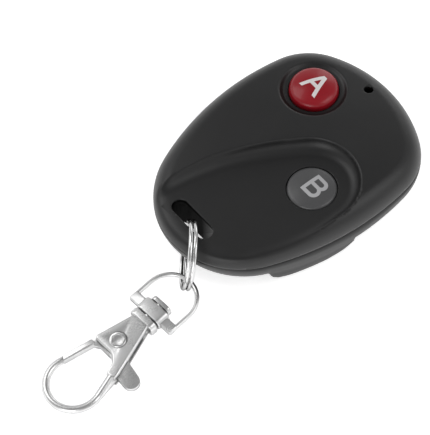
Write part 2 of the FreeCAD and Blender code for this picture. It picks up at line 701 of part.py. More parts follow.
button_a, legend_a = build_button("a", letter_a_shape, "dish_floor", (0.2, 0.5))
button_b, legend_b = build_button("b", letter_b_shape, "scoop_floor", (0.5, 0.5))


# Circuit board and what is soldered to it
def build_board():
    """Board that fills the wide end, with holes for the screws that pass it."""
    board = outline_slab(size("board_inset"), size("board_height"), board_top)
    span = 2 * size("fob_length")
    keep = Part.makeBox(span, span, span, Vector(-span / 2, size("board_front"), -span / 2))
    board = board.common(keep)
    for place in SCREW_PLACES:
        board = board.cut(screw_boss(place, 0, board_top + 1, size("screw_radius") + 0.3))
    return board


circuit_board = add_feature("circuit_board", build_board())


def bound_box(name, corner, extent):
    """Box whose corner and extent are expressions."""
    box = document.addObject("Part::Box", name)
    bind(box, Length=extent[0], Width=extent[1], Height=extent[2], Placement__Base__x=corner[0],
         Placement__Base__y=corner[1], Placement__Base__z=corner[2])
    return box


def bound_cylinder(name, centre, radius, height):
    """Upright cylinder whose centre, radius and height are expressions."""
    cylinder = document.addObject("Part::Cylinder", name)
    bind(cylinder, Radius=radius, Height=height, Placement__Base__x=centre[0],
         Placement__Base__y=centre[1], Placement__Base__z=centre[2])
    return cylinder


def cut(label, base, tool):
    """Named difference of two objects."""
    result = document.addObject("Part::Cut", label)
    result.Label = label
    result.Base = base
    result.Tool = tool
    return result


BOARD_TOP = "sizes.board_height + sizes.board_thickness"


def build_switch(name):
    """Tact switch under one button: base, metal cover and plunger."""
    side = f"sizes.button_{name}_side"
    along = f"sizes.button_{name}_along"
    half = "sizes.switch_side / 2"
    full = "sizes.switch_side"
    base_height = "sizes.switch_height - sizes.switch_cover"
    block = bound_box(f"switch_{name}_block", (f"{side} - {half}", f"{along} - {half}", BOARD_TOP),
                      (full, full, base_height))
    well = bound_cylinder(f"switch_{name}_well",
                          (side, along, f"{BOARD_TOP} + sizes.switch_floor"),
                          "sizes.stem_radius + sizes.stem_gap", "sizes.switch_height")
    body = cut(f"switch_{name}_base", block, well)
    plate = bound_box(f"switch_{name}_plate",
                      (f"{side} - {half}", f"{along} - {half}", f"{BOARD_TOP} + {base_height}"),
                      (full, full, "sizes.switch_cover"))
    hole = bound_cylinder(f"switch_{name}_hole", (side, along, BOARD_TOP),
                          "sizes.stem_radius + sizes.stem_gap", "sizes.switch_height + 1")
    cover = cut(f"switch_{name}_cover", plate, hole)
    foot = "(sizes.switch_floor + sizes.button_travel + sizes.stem_play)"
    stem = bound_cylinder(f"switch_{name}_stem", (side, along, f"{BOARD_TOP} + {foot}"),
                          "sizes.stem_radius",
                          f"sizes.switch_height + sizes.stem_reach - {foot}")
    stem.Label = f"switch_{name}_stem"
    return [body, cover, stem]


switch_parts = build_switch("a") + build_switch("b")

lamp = turned_body(
    "indicator_led",
    [("0", "0"), ("sizes.lamp_radius + sizes.lamp_skirt", "0"),
     ("sizes.lamp_radius + sizes.lamp_skirt", "sizes.lamp_skirt_height"),
     ("sizes.lamp_radius", "sizes.lamp_skirt_height"),
     ("sizes.lamp_radius", "sizes.lamp_shoulder"), ("0", "sizes.lamp_height")], dome=4,
    place={"Placement__Base__x": "sizes.indicator_side",
           "Placement__Base__y": "sizes.indicator_along - 0.6",
           "Placement__Base__z": BOARD_TOP})


LEG_PITCH = 1.27
LEG_WIDTH = 0.4
LEG_LENGTH = 1.0
LEG_HEIGHT = 0.3
LEG_ROOT = 0.1


def chip(length, width, height, centre, level, leg_count=0):
    """Moulded chip with flat legs down its two long sides."""
    corner = Vector(centre[0] - length / 2, centre[1] - width / 2, level)
    body = Part.makeBox(length, width, height, corner)
    for number in range(leg_count):
        left = centre[0] + (number - (leg_count - 1) / 2) * LEG_PITCH - LEG_WIDTH / 2
        for near in (centre[1] + width / 2 - LEG_ROOT,
                     centre[1] - width / 2 + LEG_ROOT - LEG_LENGTH):
            leg = Part.makeBox(LEG_WIDTH, LEG_LENGTH, LEG_HEIGHT, Vector(left, near, level))
            body = body.fuse(leg)
    return body.removeSplitter()


def small_blocks(places, length, width, height, level):
    """Group of small oblong chips, each a solid of its own."""
    blocks = [Part.makeBox(length, width, height,
                           Vector(x - length / 2, y - width / 2, level)) for x, y in places]
    return Part.makeCompound(blocks)


encoder_chip = add_feature("encoder_chip", chip(8.6, 3.9, 1.4, (-6.5, 2.6), board_top, 6))
transistor = add_feature("transistor", chip(2.9, 1.4, 1.0, (1.2, 9.6), board_top, 2))
choke = add_feature("choke_coil", chip(3.2, 2.6, 2.2, (0.6, 14.6), board_top))
chip_resistors = add_feature("chip_resistors", small_blocks(
    [(-12.0, -1.4), (-9.3, -1.8), (3.2, 6.6), (3.0, 18.0), (5.8, 20.2)], 2.0, 1.25, 0.5, board_top))
chip_capacitors = add_feature("chip_capacitors", small_blocks(
    [(-4.0, 7.4), (-0.8, 5.8), (7.0, 17.6), (10.2, 19.6)], 2.0, 1.25, 0.9, board_top))
resonator = turned_body(
    "resonator",
    [("0", "0"), ("sizes.resonator_radius + sizes.resonator_rim", "0"),
     ("sizes.resonator_radius + sizes.resonator_rim", "sizes.resonator_rim_height"),
     ("sizes.resonator_radius", "sizes.resonator_rim_height"),
     ("sizes.resonator_radius", "sizes.resonator_height"), ("0", "sizes.resonator_height")],
    place={"Placement__Base__x": "sizes.button_b_side - 1.0",
           "Placement__Base__y": "sizes.button_b_along + 12.2",
           "Placement__Base__z": BOARD_TOP})

# Battery: a cell lying across the fob, its nipple towards +X
battery_height = wall + size("battery_gap") + size("battery_radius")
half_battery = size("battery_length") / 2


def along_x(x):
    """Placement that turns a body's own axis to +X, on the battery's axis."""
    return Placement(Vector(x, size("battery_along"), battery_height),
                     Rotation(Vector(0, 1, 0), 90))


battery = turned_body(
    "battery_can",
    [("0", "0"), ("sizes.battery_radius - sizes.sleeve_thickness", "0"),
     ("sizes.battery_radius - sizes.sleeve_thickness",
      "sizes.battery_length - sizes.nipple_length"),
     ("0", "sizes.battery_length - sizes.nipple_length")])
battery.Placement = along_x(-half_battery)
battery_cap = turned_body(
    "battery_cap",
    [("0", "0"), ("sizes.nipple_radius", "0"), ("sizes.nipple_radius", "sizes.nipple_length"),
     ("0", "sizes.nipple_length")])
battery_cap.Placement = along_x(half_battery - size("nipple_length"))


SLEEVE_SHORT = 0.5


def build_sleeve():
    """Thin printed sleeve round the can."""
    length = size("battery_length") - size("nipple_length") - 2 * SLEEVE_SHORT
    outer = Part.makeCylinder(size("battery_radius"), length)
    bore = Part.makeCylinder(size("battery_radius") - size("sleeve_thickness"), length)
    return outer.cut(bore)


battery_sleeve = add_feature("battery_sleeve", build_sleeve(),
                             along_x(-half_battery + SLEEVE_SHORT))


BLADE_WIDTH = 6.0
BLADE_TOP = 3.2
BLADE_FOOT = 1.0
BLADE_GAP = 0.05
TAIL_REACH = 2.4
TAIL_HEIGHT = 1.6
FOOT_REACH = 1.5
FOOT_WIDTH = 1.8


def build_contact(sense):
    """Sheet contact at one end of the cell, with a tail on the board."""
    thickness = size("contact_thickness")
    room = BLADE_GAP if sense > 0 else size("contact_room")
    face = half_battery + room
    along = size("battery_along")
    blade_low = wall + BLADE_FOOT
    blade = Part.makeBox(thickness, BLADE_WIDTH, board_top + BLADE_TOP - blade_low,
                         Vector(face, along - BLADE_WIDTH / 2, blade_low))
    tail_end = size("board_front") + TAIL_REACH
    tail = Part.makeBox(thickness, tail_end - along, TAIL_HEIGHT,
                        Vector(face, along, board_top + seat_gap))
    foot = Part.makeBox(FOOT_REACH, FOOT_WIDTH, thickness,
                        Vector(face + thickness - FOOT_REACH, tail_end - FOOT_WIDTH,
                               board_top + seat_gap))
    contact = blade.fuse(tail).fuse(foot).removeSplitter()
    if sense < 0:
        contact = contact.mirror(Vector(0, 0, 0), Vector(1, 0, 0))
    return contact


contact_plus = add_feature("contact_plus", build_contact(1))
contact_minus = add_feature("contact_minus", build_contact(-1))


# Wire forms: a path of biarcs through points of a formula, and a round tube along it
def arc_from(start, tangent, end):
    """Arc that leaves a point along a tangent and ends at another point."""
    chord = end - start
    along = Vector(chord).normalize()
    lift = tangent - along * tangent.dot(along)
    if lift.Length < 1e-7:
        return Part.makeLine(start, end)
    half_angle = math.acos(max(-1.0, min(1.0, tangent.dot(along))))
    sagitta = chord.Length / 2 * math.tan(half_angle / 2)
    middle = start + chord * 0.5 + lift.normalize() * sagitta
    return Part.Arc(start, middle, end).toShape()


def biarc(start, start_tangent, end, end_tangent):
    """Two arcs that join two points with given unit tangents."""
    chord = end - start
    both = start_tangent + end_tangent
    spread = 2 * (1 - start_tangent.dot(end_tangent))
    reach = (-chord.dot(both) + math.sqrt(chord.dot(both) ** 2 + spread * chord.dot(chord)))
    reach = reach / spread
    joint = (start + end + (start_tangent - end_tangent) * reach) * 0.5
    first = arc_from(start, start_tangent, joint)
    second = arc_from(end, end_tangent * -1, joint)
    return [first, second]


def coil_tube(point_at, turns, wire_diameter):
    """Unbroken tube along point_at(turn), in biarcs of a quarter turn, and points of its path."""
    count = int(round(4 * turns))
    nudge = 1e-4

    def tangent_at(turn):
        return (point_at(turn + nudge) - point_at(turn - nudge)).normalize()

    edges = []
    for number in range(count):
        here = number / 4
        there = (number + 1) / 4
        edges += biarc(point_at(here), tangent_at(here), point_at(there), tangent_at(there))
    path = Part.Wire(edges)
    profile = Part.Wire([Part.makeCircle(wire_diameter / 2, point_at(0), tangent_at(0))])
    return path.makePipeShell([profile], True, False), path.discretize(Number=401)


def least_gap(points, turns, wire_diameter):
    """Smallest clear distance between neighbouring turns, from points of the path."""
    half_turn = int((len(points) - 1) / turns / 2)
    nearest = min((points[i] - points[j]).Length
                  for i in range(len(points))
                  for j in range(i + half_turn, len(points)))
    return nearest - wire_diameter


def smooth_step(value):
    """0 to 1 with flat ends."""
    clipped = max(0.0, min(1.0, value))
    return clipped * clipped * (3 - 2 * clipped)


ring_flat = size("ring_flat_turn")
ring_turns = ring_flat + 1


def ring_point(turn):
    """Split ring about the Z axis: a flat strand, a step, and a second flat strand beside it."""
    angle = 2 * math.pi * turn
    rise = size("ring_pitch") * (smooth_step((turn - ring_flat) / (1 - ring_flat)) - 0.5)
    return Vector(size("ring_radius") * math.cos(angle),
                  size("ring_radius") * math.sin(angle), rise)


ring_yaw = math.radians(size("ring_yaw"))
ring_lean = math.radians(size("ring_lean"))
ring_outward = Vector(math.sin(ring_yaw), -math.cos(ring_yaw), 0)
ring_sideways = Vector(math.cos(ring_yaw), math.sin(ring_yaw), 0)
ring_upward = Vector(0, 0, math.cos(ring_lean)) + ring_sideways * math.sin(ring_lean)
ring_height = (size("ring_lift") + size("ring_wire") / 2
               + size("ring_radius") * math.cos(ring_lean))
ring_in_slot = Vector(size("slot_side") + size("ring_slot_side"),
                      size("slot_along") + size("ring_slot_along"), ring_height)
ring_centre = ring_in_slot + ring_outward * size("ring_radius")


def ring_placement():
    """Ring in its leaning plane, with its step in the slot."""
    plane = Rotation(ring_outward, ring_upward, Vector(0, 0, 0), "XYZ")
    seam = Rotation(Vector(0, 0, 1), -size("ring_seam"))
    return Placement(ring_centre, plane * seam)


ring_tube, ring_samples = coil_tube(ring_point, ring_turns, size("ring_wire"))
split_ring = add_feature("split_ring", ring_tube, ring_placement())
ring_gap = least_gap(ring_samples, ring_turns, size("ring_wire"))
print(f"split ring: least gap between its turns {ring_gap:.3f} mm")

SPRING_TURNS = 2.0
SPRING_WIDE = 2.9
SPRING_NARROW = 1.4
SPRING_PLAY = 0.03
spring_rise = size("contact_room") - size("contact_wire") - 2 * SPRING_PLAY


def battery_spring_point(turn):
    """Conical contact spring about the Z axis, wide at its foot."""
    share = turn / SPRING_TURNS
    radius = SPRING_WIDE + (SPRING_NARROW - SPRING_WIDE) * share
    angle = 2 * math.pi * turn
    return Vector(radius * math.cos(angle), radius * math.sin(angle), spring_rise * share)


spring_tube, spring_samples = coil_tube(battery_spring_point, SPRING_TURNS, size("contact_wire"))
spring_foot = -half_battery - size("contact_room") + size("contact_wire") / 2 + SPRING_PLAY
battery_spring = add_feature("battery_spring", spring_tube, along_x(spring_foot))
spring_gap = least_gap(spring_samples, SPRING_TURNS, size("contact_wire"))
print(f"battery spring: least gap between its turns {spring_gap:.3f} mm")

# Case screws, put in from below
screw = turned_body(
    "case_screw",
    [("0", "0"), ("sizes.screw_head_radius", "0"),
     ("sizes.screw_head_radius", "sizes.screw_head_height"),
     ("sizes.screw_radius", "sizes.screw_head_height"),
     ("sizes.screw_radius", "sizes.screw_head_height + sizes.screw_length - sizes.screw_point"),
     ("0", "sizes.screw_head_height + sizes.screw_length")])
drive_depth = size("screw_drive_depth")
drive_corner = Vector(-size("screw_drive") / 2, -size("screw_drive_width") / 2, -drive_depth)
drive = Part.makeBox(size("screw_drive"), size("screw_drive_width"), 2 * drive_depth, drive_corner)
drive_across = drive.copy()
drive_across.rotate(Vector(0, 0, 0), Vector(0, 0, 1), 90)
drive = drive.fuse(drive_across)
screw_solid = screw.Shape.cut(drive)
screw_copies = []
for place in SCREW_PLACES:
    copy = screw_solid.copy()
    copy.translate(Vector(place[0], place[1], screw_seat - size("screw_head_height")))
    screw_copies.append(copy)
case_screws = add_feature("case_screws", Part.makeCompound(screw_copies))

# Clasp, in its own frame: origin in the middle of the bail's hub, +Y towards the ring. Its hook
# and its collar lie on the ground, and the crown of its bail lies inside the ring.
clasp_rotation = (Rotation(Vector(0, 0, 1), size("clasp_turn"))
                  * Rotation(Vector(1, 0, 0), size("clasp_pitch")))
reach = clasp_rotation.multVec(Vector(0, size("loop_reach"), 0))
link_drop = (ring_height - size("clasp_height") - reach.z) / math.cos(ring_lean)
link_room = (size("ring_radius") - size("ring_wire") / 2 - size("loop_wire") / 2
             - size("link_gap"))
link_out = math.sqrt(link_room ** 2 - link_drop ** 2)
crown = ring_centre + ring_outward * link_out + ring_sideways * size("link_side")
clasp_origin = Vector(crown.x - reach.x, crown.y - reach.y, size("clasp_height"))
clasp_placement = Placement(clasp_origin, clasp_rotation)
hub_half = size("hub_length") / 2


def along_y(radius, start, end):
    """Cylinder on the clasp's axis between two places along it."""
    return Part.makeCylinder(radius, end - start, Vector(0, start, 0), Vector(0, 1, 0))


def flat_barrel(half_width, half_height, corner, start, end):
    """Bar on the clasp's axis with four rounded long edges."""
    bar = Part.makeBox(2 * half_width, end - start, 2 * half_height,
                       Vector(-half_width, start, -half_height))
    long_edges = [edge for edge in bar.Edges
                  if abs(edge.Vertexes[0].Y - edge.Vertexes[1].Y) > 0.5 * (end - start)]
    return bar.makeFillet(corner, long_edges)


def round_over(solid, places, radius):
    """Solid with the edges rounded that lie at some places along the clasp."""
    edges = [edge for edge in solid.Edges
             if any(all(abs(vertex.Y - place) < 1e-4 for vertex in edge.Vertexes)
                    for place in places)]
    return solid.makeFillet(radius, edges)


def build_bail():
    """D-shaped loop with square shoulders and a flat-sided hub, bored for the pin."""
    radius = size("loop_radius")
    straight = size("loop_reach") - radius
    path = Part.Wire([
        Part.makeLine(Vector(-radius, 0, 0), Vector(-radius, straight, 0)),
        Part.Arc(Vector(-radius, straight, 0), Vector(0, straight + radius, 0),
                 Vector(radius, straight, 0)).toShape(),
        Part.makeLine(Vector(radius, straight, 0), Vector(radius, 0, 0))])
    foot = Part.Wire([Part.makeCircle(size("loop_wire") / 2, Vector(-radius, 0, 0),
                                      Vector(0, 1, 0))])
    loop = path.makePipeShell([foot], True, False)
    outer = size("shoulder_half_width")
    length = size("shoulder_length")
    height = size("shoulder_thickness")
    bar = Part.makeBox(2 * outer, length, height, Vector(-outer, -length / 2, -height / 2))
    bar = bar.makeFillet(size("shoulder_rounding"), bar.Edges)
    hub = flat_barrel(size("hub_half_width"), size("hub_half_height"), size("hub_corner"),
                      -hub_half, hub_half)
    hub = round_over(hub, (-hub_half, hub_half), size("hub_rounding"))
    bore = along_y(size("pin_radius") + size("pin_clearance"), -2 * hub_half, 2 * hub_half)
    return loop.fuse(bar).fuse(hub).cut(bore).removeSplitter()


swivel_bail = add_feature("swivel_bail", build_bail(), clasp_placement)

# Swivel pin: shank from the clasp's neck through the hub, with a flat-sided head in the loop
collar_back = -hub_half - size("swivel_play")
collar_front = collar_back - size("collar_length")
pin_foot = collar_front - size("pin_root")


def build_pin():
    """Round shank with a flat-sided head, which keeps the bail on the clasp."""
    head_back = hub_half + size("swivel_play")
    head_front = head_back + size("pin_head_height")
    head = flat_barrel(size("pin_head_half_width"), size("pin_head_half_height"),
                       0.75 * size("pin_head_half_height"), head_back, head_front)
    head = round_over(head, (head_front,), size("pin_head_rounding"))
    return head.fuse(along_y(size("pin_radius"), pin_foot, head_back)).removeSplitter()


swivel_pin = add_feature("swivel_pin", build_pin(), clasp_placement)

rivet_centre = Vector(0, size("rivet_along"), 0)
cheek = size("cheek_half_height")
slot_half = size("lever_half_height") + size("lever_gap")
spine_slant = size("spine_slant")
gate_slant = size("gate_slant")
hook_centre = Vector(0, size("hook_along"), 0)
spine_joint = polar(hook_centre, size("hook_radius"), spine_slant)
spine_direction = polar(Vector(0, 0, 0), 1, 90 + spine_slant)
spine_start = spine_joint + spine_direction * size("hook_spine")
nose_joint = polar(hook_centre, size("hook_radius"), 180 - gate_slant)
nose_direction = polar(Vector(0, 0, 0), 1, 90 - gate_slant)
nose_cut_centre = nose_joint + nose_direction * size("nose_reach")
nose_end = nose_cut_centre + nose_direction * size("nose_wire") / 2
nose_wire = size("nose_wire")


def nose_side(offset, gate_side):
    """Block on one side of the slanted cut between the hook's nose and the gate."""
    long = 3 * size("hook_wire")
    deep = 2 * size("hook_wire")
    low = offset if gate_side else offset - 2 * deep
    block = Part.makeBox(long, deep if gate_side else 2 * deep, long,
                         Vector(-long / 2, low, -long / 2))
    block.rotate(Vector(0, 0, 0), Vector(0, 0, 1), -size("nose_cut"))
    block.translate(nose_cut_centre)
    return block


def cheek_edge(along, side):
    """Place of the cheeks' edge on one side of the clasp."""
    slant = size("cheek_spine_slant") if side > 0 else size("cheek_gate_slant")
    drop = size("cheek_top") - along
    return side * (size("cheek_half_width") + drop * math.tan(math.radians(slant)))


def build_clasp_body():
    """Two cheeks on a solid neck with a collar, running into a round hook."""
    top = size("cheek_top")
    end = size("cheek_end")
    tail = size("cheek_tail")
    foot = size("hook_foot_width")
    spine_edge = cheek_edge(tail, 1)
    gate_edge = cheek_edge(end, -1)
    middle = 0.6 * end + 0.4 * tail
    plate = plate_shape([
        (cheek_edge(top, -1), top), (cheek_edge(top, 1), top),
        (cheek_edge(tail + 1.4, 1), tail + 1.4), (spine_edge - 0.2, tail),
        (spine_edge - 0.3 - foot, tail - 0.2),
        (cheek_edge(middle, 1) - 1.25 * foot, middle), (0.77 * foot, end - 0.35),
        (0.33 * foot, end),
        (gate_edge + 1.1, end), ("arc", gate_edge + 0.3, end + 0.3),
        (cheek_edge(end + 1.0, -1), end + 1.0)],
        slot_half, cheek)
    upper = plate.makeFillet(size("cheek_rounding"), edges_at_height(plate, cheek))
    lower = upper.mirror(Vector(0, 0, 0), Vector(0, 0, 1))
    neck_width = size("cheek_half_width")
    neck = Part.makeBox(2 * neck_width, size("neck_length"), 2 * slot_half,
                        Vector(-neck_width, collar_front - size("neck_length"), -slot_half))
    collar = flat_barrel(size("collar_half_width"), size("collar_half_height"),
                         size("hub_corner"), collar_front, collar_back)
    collar = round_over(collar, (collar_front, collar_back), size("hub_rounding"))
    body = upper.fuse(lower).fuse(neck).fuse(collar).fuse(build_hook())
    body = body.cut(along_y(size("pin_radius") + seat_gap, pin_foot - seat_gap, collar_back + 1))
    rivet_hole = Part.makeCylinder(size("rivet_radius") + seat_gap, 4 * cheek,
                                   rivet_centre - Vector(0, 0, 2 * cheek))
    return body.cut(rivet_hole).cut(nose_side(-size("nose_gap") / 2, True))


def hook_section(centre, direction, wide, tall):
    """Oval wire round a point of the hook, square to its direction."""
    oval = Part.Wire([Part.Ellipse(Vector(0, 0, 0), tall / 2, wide / 2).toShape()])
    square = Rotation(Vector(0, 0, 1), Vector(0, 0, 0), direction, "ZXY")
    oval.Placement = Placement(centre, square)
    return oval


def build_hook():
    """Hook: an oval foot between the cheeks, a round bow, and a taper to the nose."""
    wire = size("hook_wire")
    knee_wire = nose_wire + 0.3 * (wire - nose_wire)
    radius = size("hook_radius")
    bow_low = polar(hook_centre, radius, -90)
    foot = hook_section(spine_start, spine_direction * -1, size("hook_foot_width"), 2 * cheek)
    joint = hook_section(spine_joint, spine_direction * -1, wire, wire)
    low = hook_section(bow_low, Vector(-1, 0, 0), wire, wire)
    knee = hook_section(nose_joint, nose_direction, knee_wire, knee_wire)
    nose = hook_section(nose_end, nose_direction, nose_wire, nose_wire)
    spine_arc = Part.Arc(spine_joint, polar(hook_centre, radius, -30), bow_low).toShape()
    nose_arc = Part.Arc(bow_low, polar(hook_centre, radius, -140), nose_joint).toShape()
    hook = Part.makeLoft([foot, joint], True, True)
    hook = hook.fuse(Part.Wire([spine_arc]).makePipeShell([joint, low], True, False))
    hook = hook.fuse(Part.Wire([nose_arc]).makePipeShell([low, knee], True, False))
    return hook.fuse(Part.makeLoft([knee, nose], True, True))


clasp_body = add_feature("clasp_body", build_clasp_body(), clasp_placement)


def build_lever():
    """Gate arm, eye and thumb tab in one plate, thicker along the gate."""
    half = size("lever_half_height")
    tab_x = size("tab_side")
    tab_y = size("tab_along")
    tab_r = size("tab_radius")
    rivet_y = size("rivet_along")
    gate_top = nose_joint + nose_direction * size("gate_length")
    plate = plate_shape([
        (2.2, rivet_y + 2.3), (4.4, rivet_y - 1.5), (tab_x + 0.3, tab_y + tab_r),
        ("arc", tab_x + tab_r, tab_y), (tab_x - 0.1, tab_y - tab_r), (5.6, tab_y - 1.5),
        ("arc", 3.3, tab_y - 0.4), (1.2, rivet_y - 3.3), (-2.0, rivet_y - 3.2),
        (gate_top.x + 0.9, gate_top.y - 0.5), (gate_top.x - 0.3, gate_top.y - 0.7),
        (gate_top.x, gate_top.y + 1.0), (-2.5, rivet_y), ("arc", -1.8, rivet_y + 1.5),
        (-0.2, rivet_y + 2.3)], -half, half)
    across = Vector(nose_direction.y, -nose_direction.x, 0) * (size("gate_width") / 2)
    corners = [nose_joint - across, nose_joint + across, gate_top + across, gate_top - across]
    bar = plate_shape([(corner.x, corner.y) for corner in corners],
                      -size("gate_half_height"), size("gate_half_height"))
    bar = bar.makeFillet(0.25 * size("gate_width"), bar.Edges)
    bar = bar.cut(nose_side(size("nose_gap") / 2, False))
    hole = Part.makeCylinder(size("rivet_radius") + size("rivet_clearance"), 4 * half,
                             rivet_centre - Vector(0, 0, 2 * half))
    well_floor = half - size("spring_well_depth")
    spring_well = Part.makeCylinder(size("spring_well_radius"), half,
                                    rivet_centre + Vector(0, 0, well_floor))
    return plate.fuse(bar).cut(hole).cut(spring_well).removeSplitter()


gate_lever = add_feature("gate_lever", build_lever(), clasp_placement)

# Rivet: shank through both cheeks and the lever, with a ringed head on each side
RIVET = "(2 * (sizes.cheek_half_height + sizes.seat_gap + sizes.rivet_head_height))"
DIMPLE_DEPTH = "0.2"
RIM = "0.15"
gate_rivet = turned_body(
    "gate_rivet",
    [("0", DIMPLE_DEPTH), ("sizes.rivet_dimple", DIMPLE_DEPTH),
     ("sizes.rivet_dimple + 0.1", "0"), (f"sizes.rivet_head_radius - {RIM}", "0"),
     ("sizes.rivet_head_radius", RIM),
     ("sizes.rivet_head_radius", "sizes.rivet_head_height"),
     ("sizes.rivet_radius", "sizes.rivet_head_height"),
     ("sizes.rivet_radius", f"{RIVET} - sizes.rivet_head_height"),
     ("sizes.rivet_head_radius", f"{RIVET} - sizes.rivet_head_height"),
     ("sizes.rivet_head_radius", f"{RIVET} - {RIM}"),
     (f"sizes.rivet_head_radius - {RIM}", RIVET), ("sizes.rivet_dimple + 0.1", RIVET),
     ("sizes.rivet_dimple", f"{RIVET} - {DIMPLE_DEPTH}"), ("0", f"{RIVET} - {DIMPLE_DEPTH}")])
rivet_foot = cheek + seat_gap + size("rivet_head_height")
rivet_local = Placement(rivet_centre - Vector(0, 0, rivet_foot), Rotation())
gate_rivet.Placement = clasp_placement.multiply(rivet_local)


def build_gate_spring():
    """Most of a turn round the rivet, in the lever's well."""
    wire = size("gate_spring_wire")
    radius = size("spring_well_radius") - wire
    level = size("lever_half_height") - size("spring_well_depth") + wire / 2 + seat_gap
    centre = rivet_centre + Vector(0, 0, level)
    first, middle, last = 100, 250, 400
    path = Part.Wire([arc_edge(centre, radius, first, middle),
                      arc_edge(centre, radius, middle, last)])
    tangent = polar(Vector(0, 0, 0), 1, first + 90)
    profile = Part.Wire([Part.makeCircle(wire / 2, polar(centre, radius, first), tangent)])
    return path.makePipeShell([profile], True, False)


gate_spring = add_feature("gate_spring", build_gate_spring(), clasp_placement)

SUB_PARTS = [upper_shell, lower_shell, button_a, legend_a, button_b, legend_b, circuit_board]
SUB_PARTS += switch_parts
SUB_PARTS += [lamp, encoder_chip, transistor, choke, chip_resistors, chip_capacitors, resonator]
SUB_PARTS += [battery, battery_cap, battery_sleeve, battery_spring, contact_plus, contact_minus]
SUB_PARTS += [case_screws, split_ring, swivel_bail, swivel_pin, clasp_body, gate_lever, gate_rivet]
SUB_PARTS += [gate_spring]

document.recompute()
for item in document.Objects:
    for word in ("Invalid", "Error"):
        if word in item.State:
            raise RuntimeError(f"{item.Label} is {item.State}")
for part in SUB_PARTS:
    if part.Shape.isNull() or not part.Shape.isValid():
        raise RuntimeError(f"{part.Label} has no valid shape")
    if not part.Shape.Solids:
        raise RuntimeError(f"{part.Label} has no solid")

os.makedirs("parts", exist_ok=True)
for part in SUB_PARTS:
    part.Shape.exportStep(f"parts/{part.Label}.step")
    print(f"{part.Label}: {len(part.Shape.Solids)} solid, {part.Shape.Volume:.2f} mm3")
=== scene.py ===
# %% [markdown]
# # A key-fob remote on a split ring with a swivel trigger clasp
# The object is an egg-shaped black plastic fob with a red and a grey push button. A sprung
# wire ring passes through the slot at its narrow end and carries a small nickel-plated clasp.
# The solids, their sizes and their joints come from the packed part. This lesson loads them,
# gives every piece its finish, and makes anew the pieces whose soft edges and drawn wire a
# plain solid doesn't show.

# %% Load the packed remote
import math

import bmesh
import bpy
import numpy as np
from mathutils import Matrix, Vector


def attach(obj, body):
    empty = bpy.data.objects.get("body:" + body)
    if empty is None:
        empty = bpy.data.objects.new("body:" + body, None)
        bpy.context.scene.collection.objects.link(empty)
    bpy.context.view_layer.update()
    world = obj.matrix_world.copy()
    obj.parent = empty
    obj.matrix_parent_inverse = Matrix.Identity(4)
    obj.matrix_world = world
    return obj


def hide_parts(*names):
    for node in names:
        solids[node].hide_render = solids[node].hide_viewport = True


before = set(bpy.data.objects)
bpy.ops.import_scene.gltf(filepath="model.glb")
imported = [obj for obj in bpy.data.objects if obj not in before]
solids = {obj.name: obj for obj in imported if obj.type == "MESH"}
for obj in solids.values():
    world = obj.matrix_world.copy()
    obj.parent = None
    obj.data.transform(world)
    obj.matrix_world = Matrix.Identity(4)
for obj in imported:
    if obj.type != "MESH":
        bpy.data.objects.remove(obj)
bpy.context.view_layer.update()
MM = 0.001


def add_object(name, data):
    """Link a new object with the given mesh, lamp or camera to the scene."""
    made = bpy.data.objects.new(name, data)
    bpy.context.scene.collection.objects.link(made)
    return made


# %% [markdown]
# ## The camera
# The photograph looks down on the fob from 57 degrees above the table, turned 50 degrees from
# the fob's own length. A long lens from 0.6 m keeps the perspective as weak as it is there.
# The camera's three axes are worked out as vectors, because its roll then needs no guess.

# %% Set the camera
VIEW_TURN = math.radians(49.973)
VIEW_RISE = math.radians(56.787)
VIEW_DISTANCE = 600 * MM
PIXELS_PER_MM = 4.804
IMAGE_WIDTH = 430
SENSOR = 36.0
NEAREST_SEEN = 10 * MM
AIM_ACROSS = -13.98 * MM
AIM_UP = -5.99 * MM

view_right = Vector((math.cos(VIEW_TURN), math.sin(VIEW_TURN), 0))
view_back = Vector((math.sin(VIEW_TURN) * math.cos(VIEW_RISE),
                    -math.cos(VIEW_TURN) * math.cos(VIEW_RISE), math.sin(VIEW_RISE)))
view_up = view_back.cross(view_right)
view_target = AIM_ACROSS * view_right + AIM_UP * view_up
view_eye = view_back * VIEW_DISTANCE

lens_data = bpy.data.cameras.new("camera")
lens_data.sensor_fit = "HORIZONTAL"
lens_data.sensor_width = SENSOR
camera = add_object("camera", lens_data)
back = (view_eye - view_target).normalized()
right = view_up.cross(back).normalized()
camera.matrix_world = (Matrix.Translation(view_eye)
                       @ Matrix((right, back.cross(right), back)).transposed().to_4x4())
seen_width = IMAGE_WIDTH / PIXELS_PER_MM * MM
lens_data.lens = SENSOR * (view_eye - view_target).length / seen_width
lens_data.clip_start = NEAREST_SEEN
bpy.context.scene.camera = camera
print("lens", round(lens_data.lens, 1), "mm")

# %% [markdown]
# ## The table
# The product lies on a back-lit white acrylic sheet, which is why the photograph has next to
# no shadow. A lamp under a thin sheet would do the same, but a sheet whose own material glows
# a little needs no light to pass through it, and so gives less noise.

# %% Lay the table
WHITE_ACRYLIC = (0.93, 0.93, 0.93, 1)
TABLE_GLOW = 0.68
TABLE_ROUGHNESS = 0.6
TABLE_HALF_WIDTH = 3.0
TABLE_HEIGHT = -0.02 * MM


def lay_table(name, half_width, height):
    """A level square sheet round the origin, at a height a hair under the object's feet."""
    corners = half_width * np.array([(-1, -1), (1, -1), (1, 1), (-1, 1)])
    mesh = bpy.data.meshes.new(name)
    mesh.from_pydata([(x, y, height) for x, y in corners], [], [(0, 1, 2, 3)])
    return add_object(name, mesh)


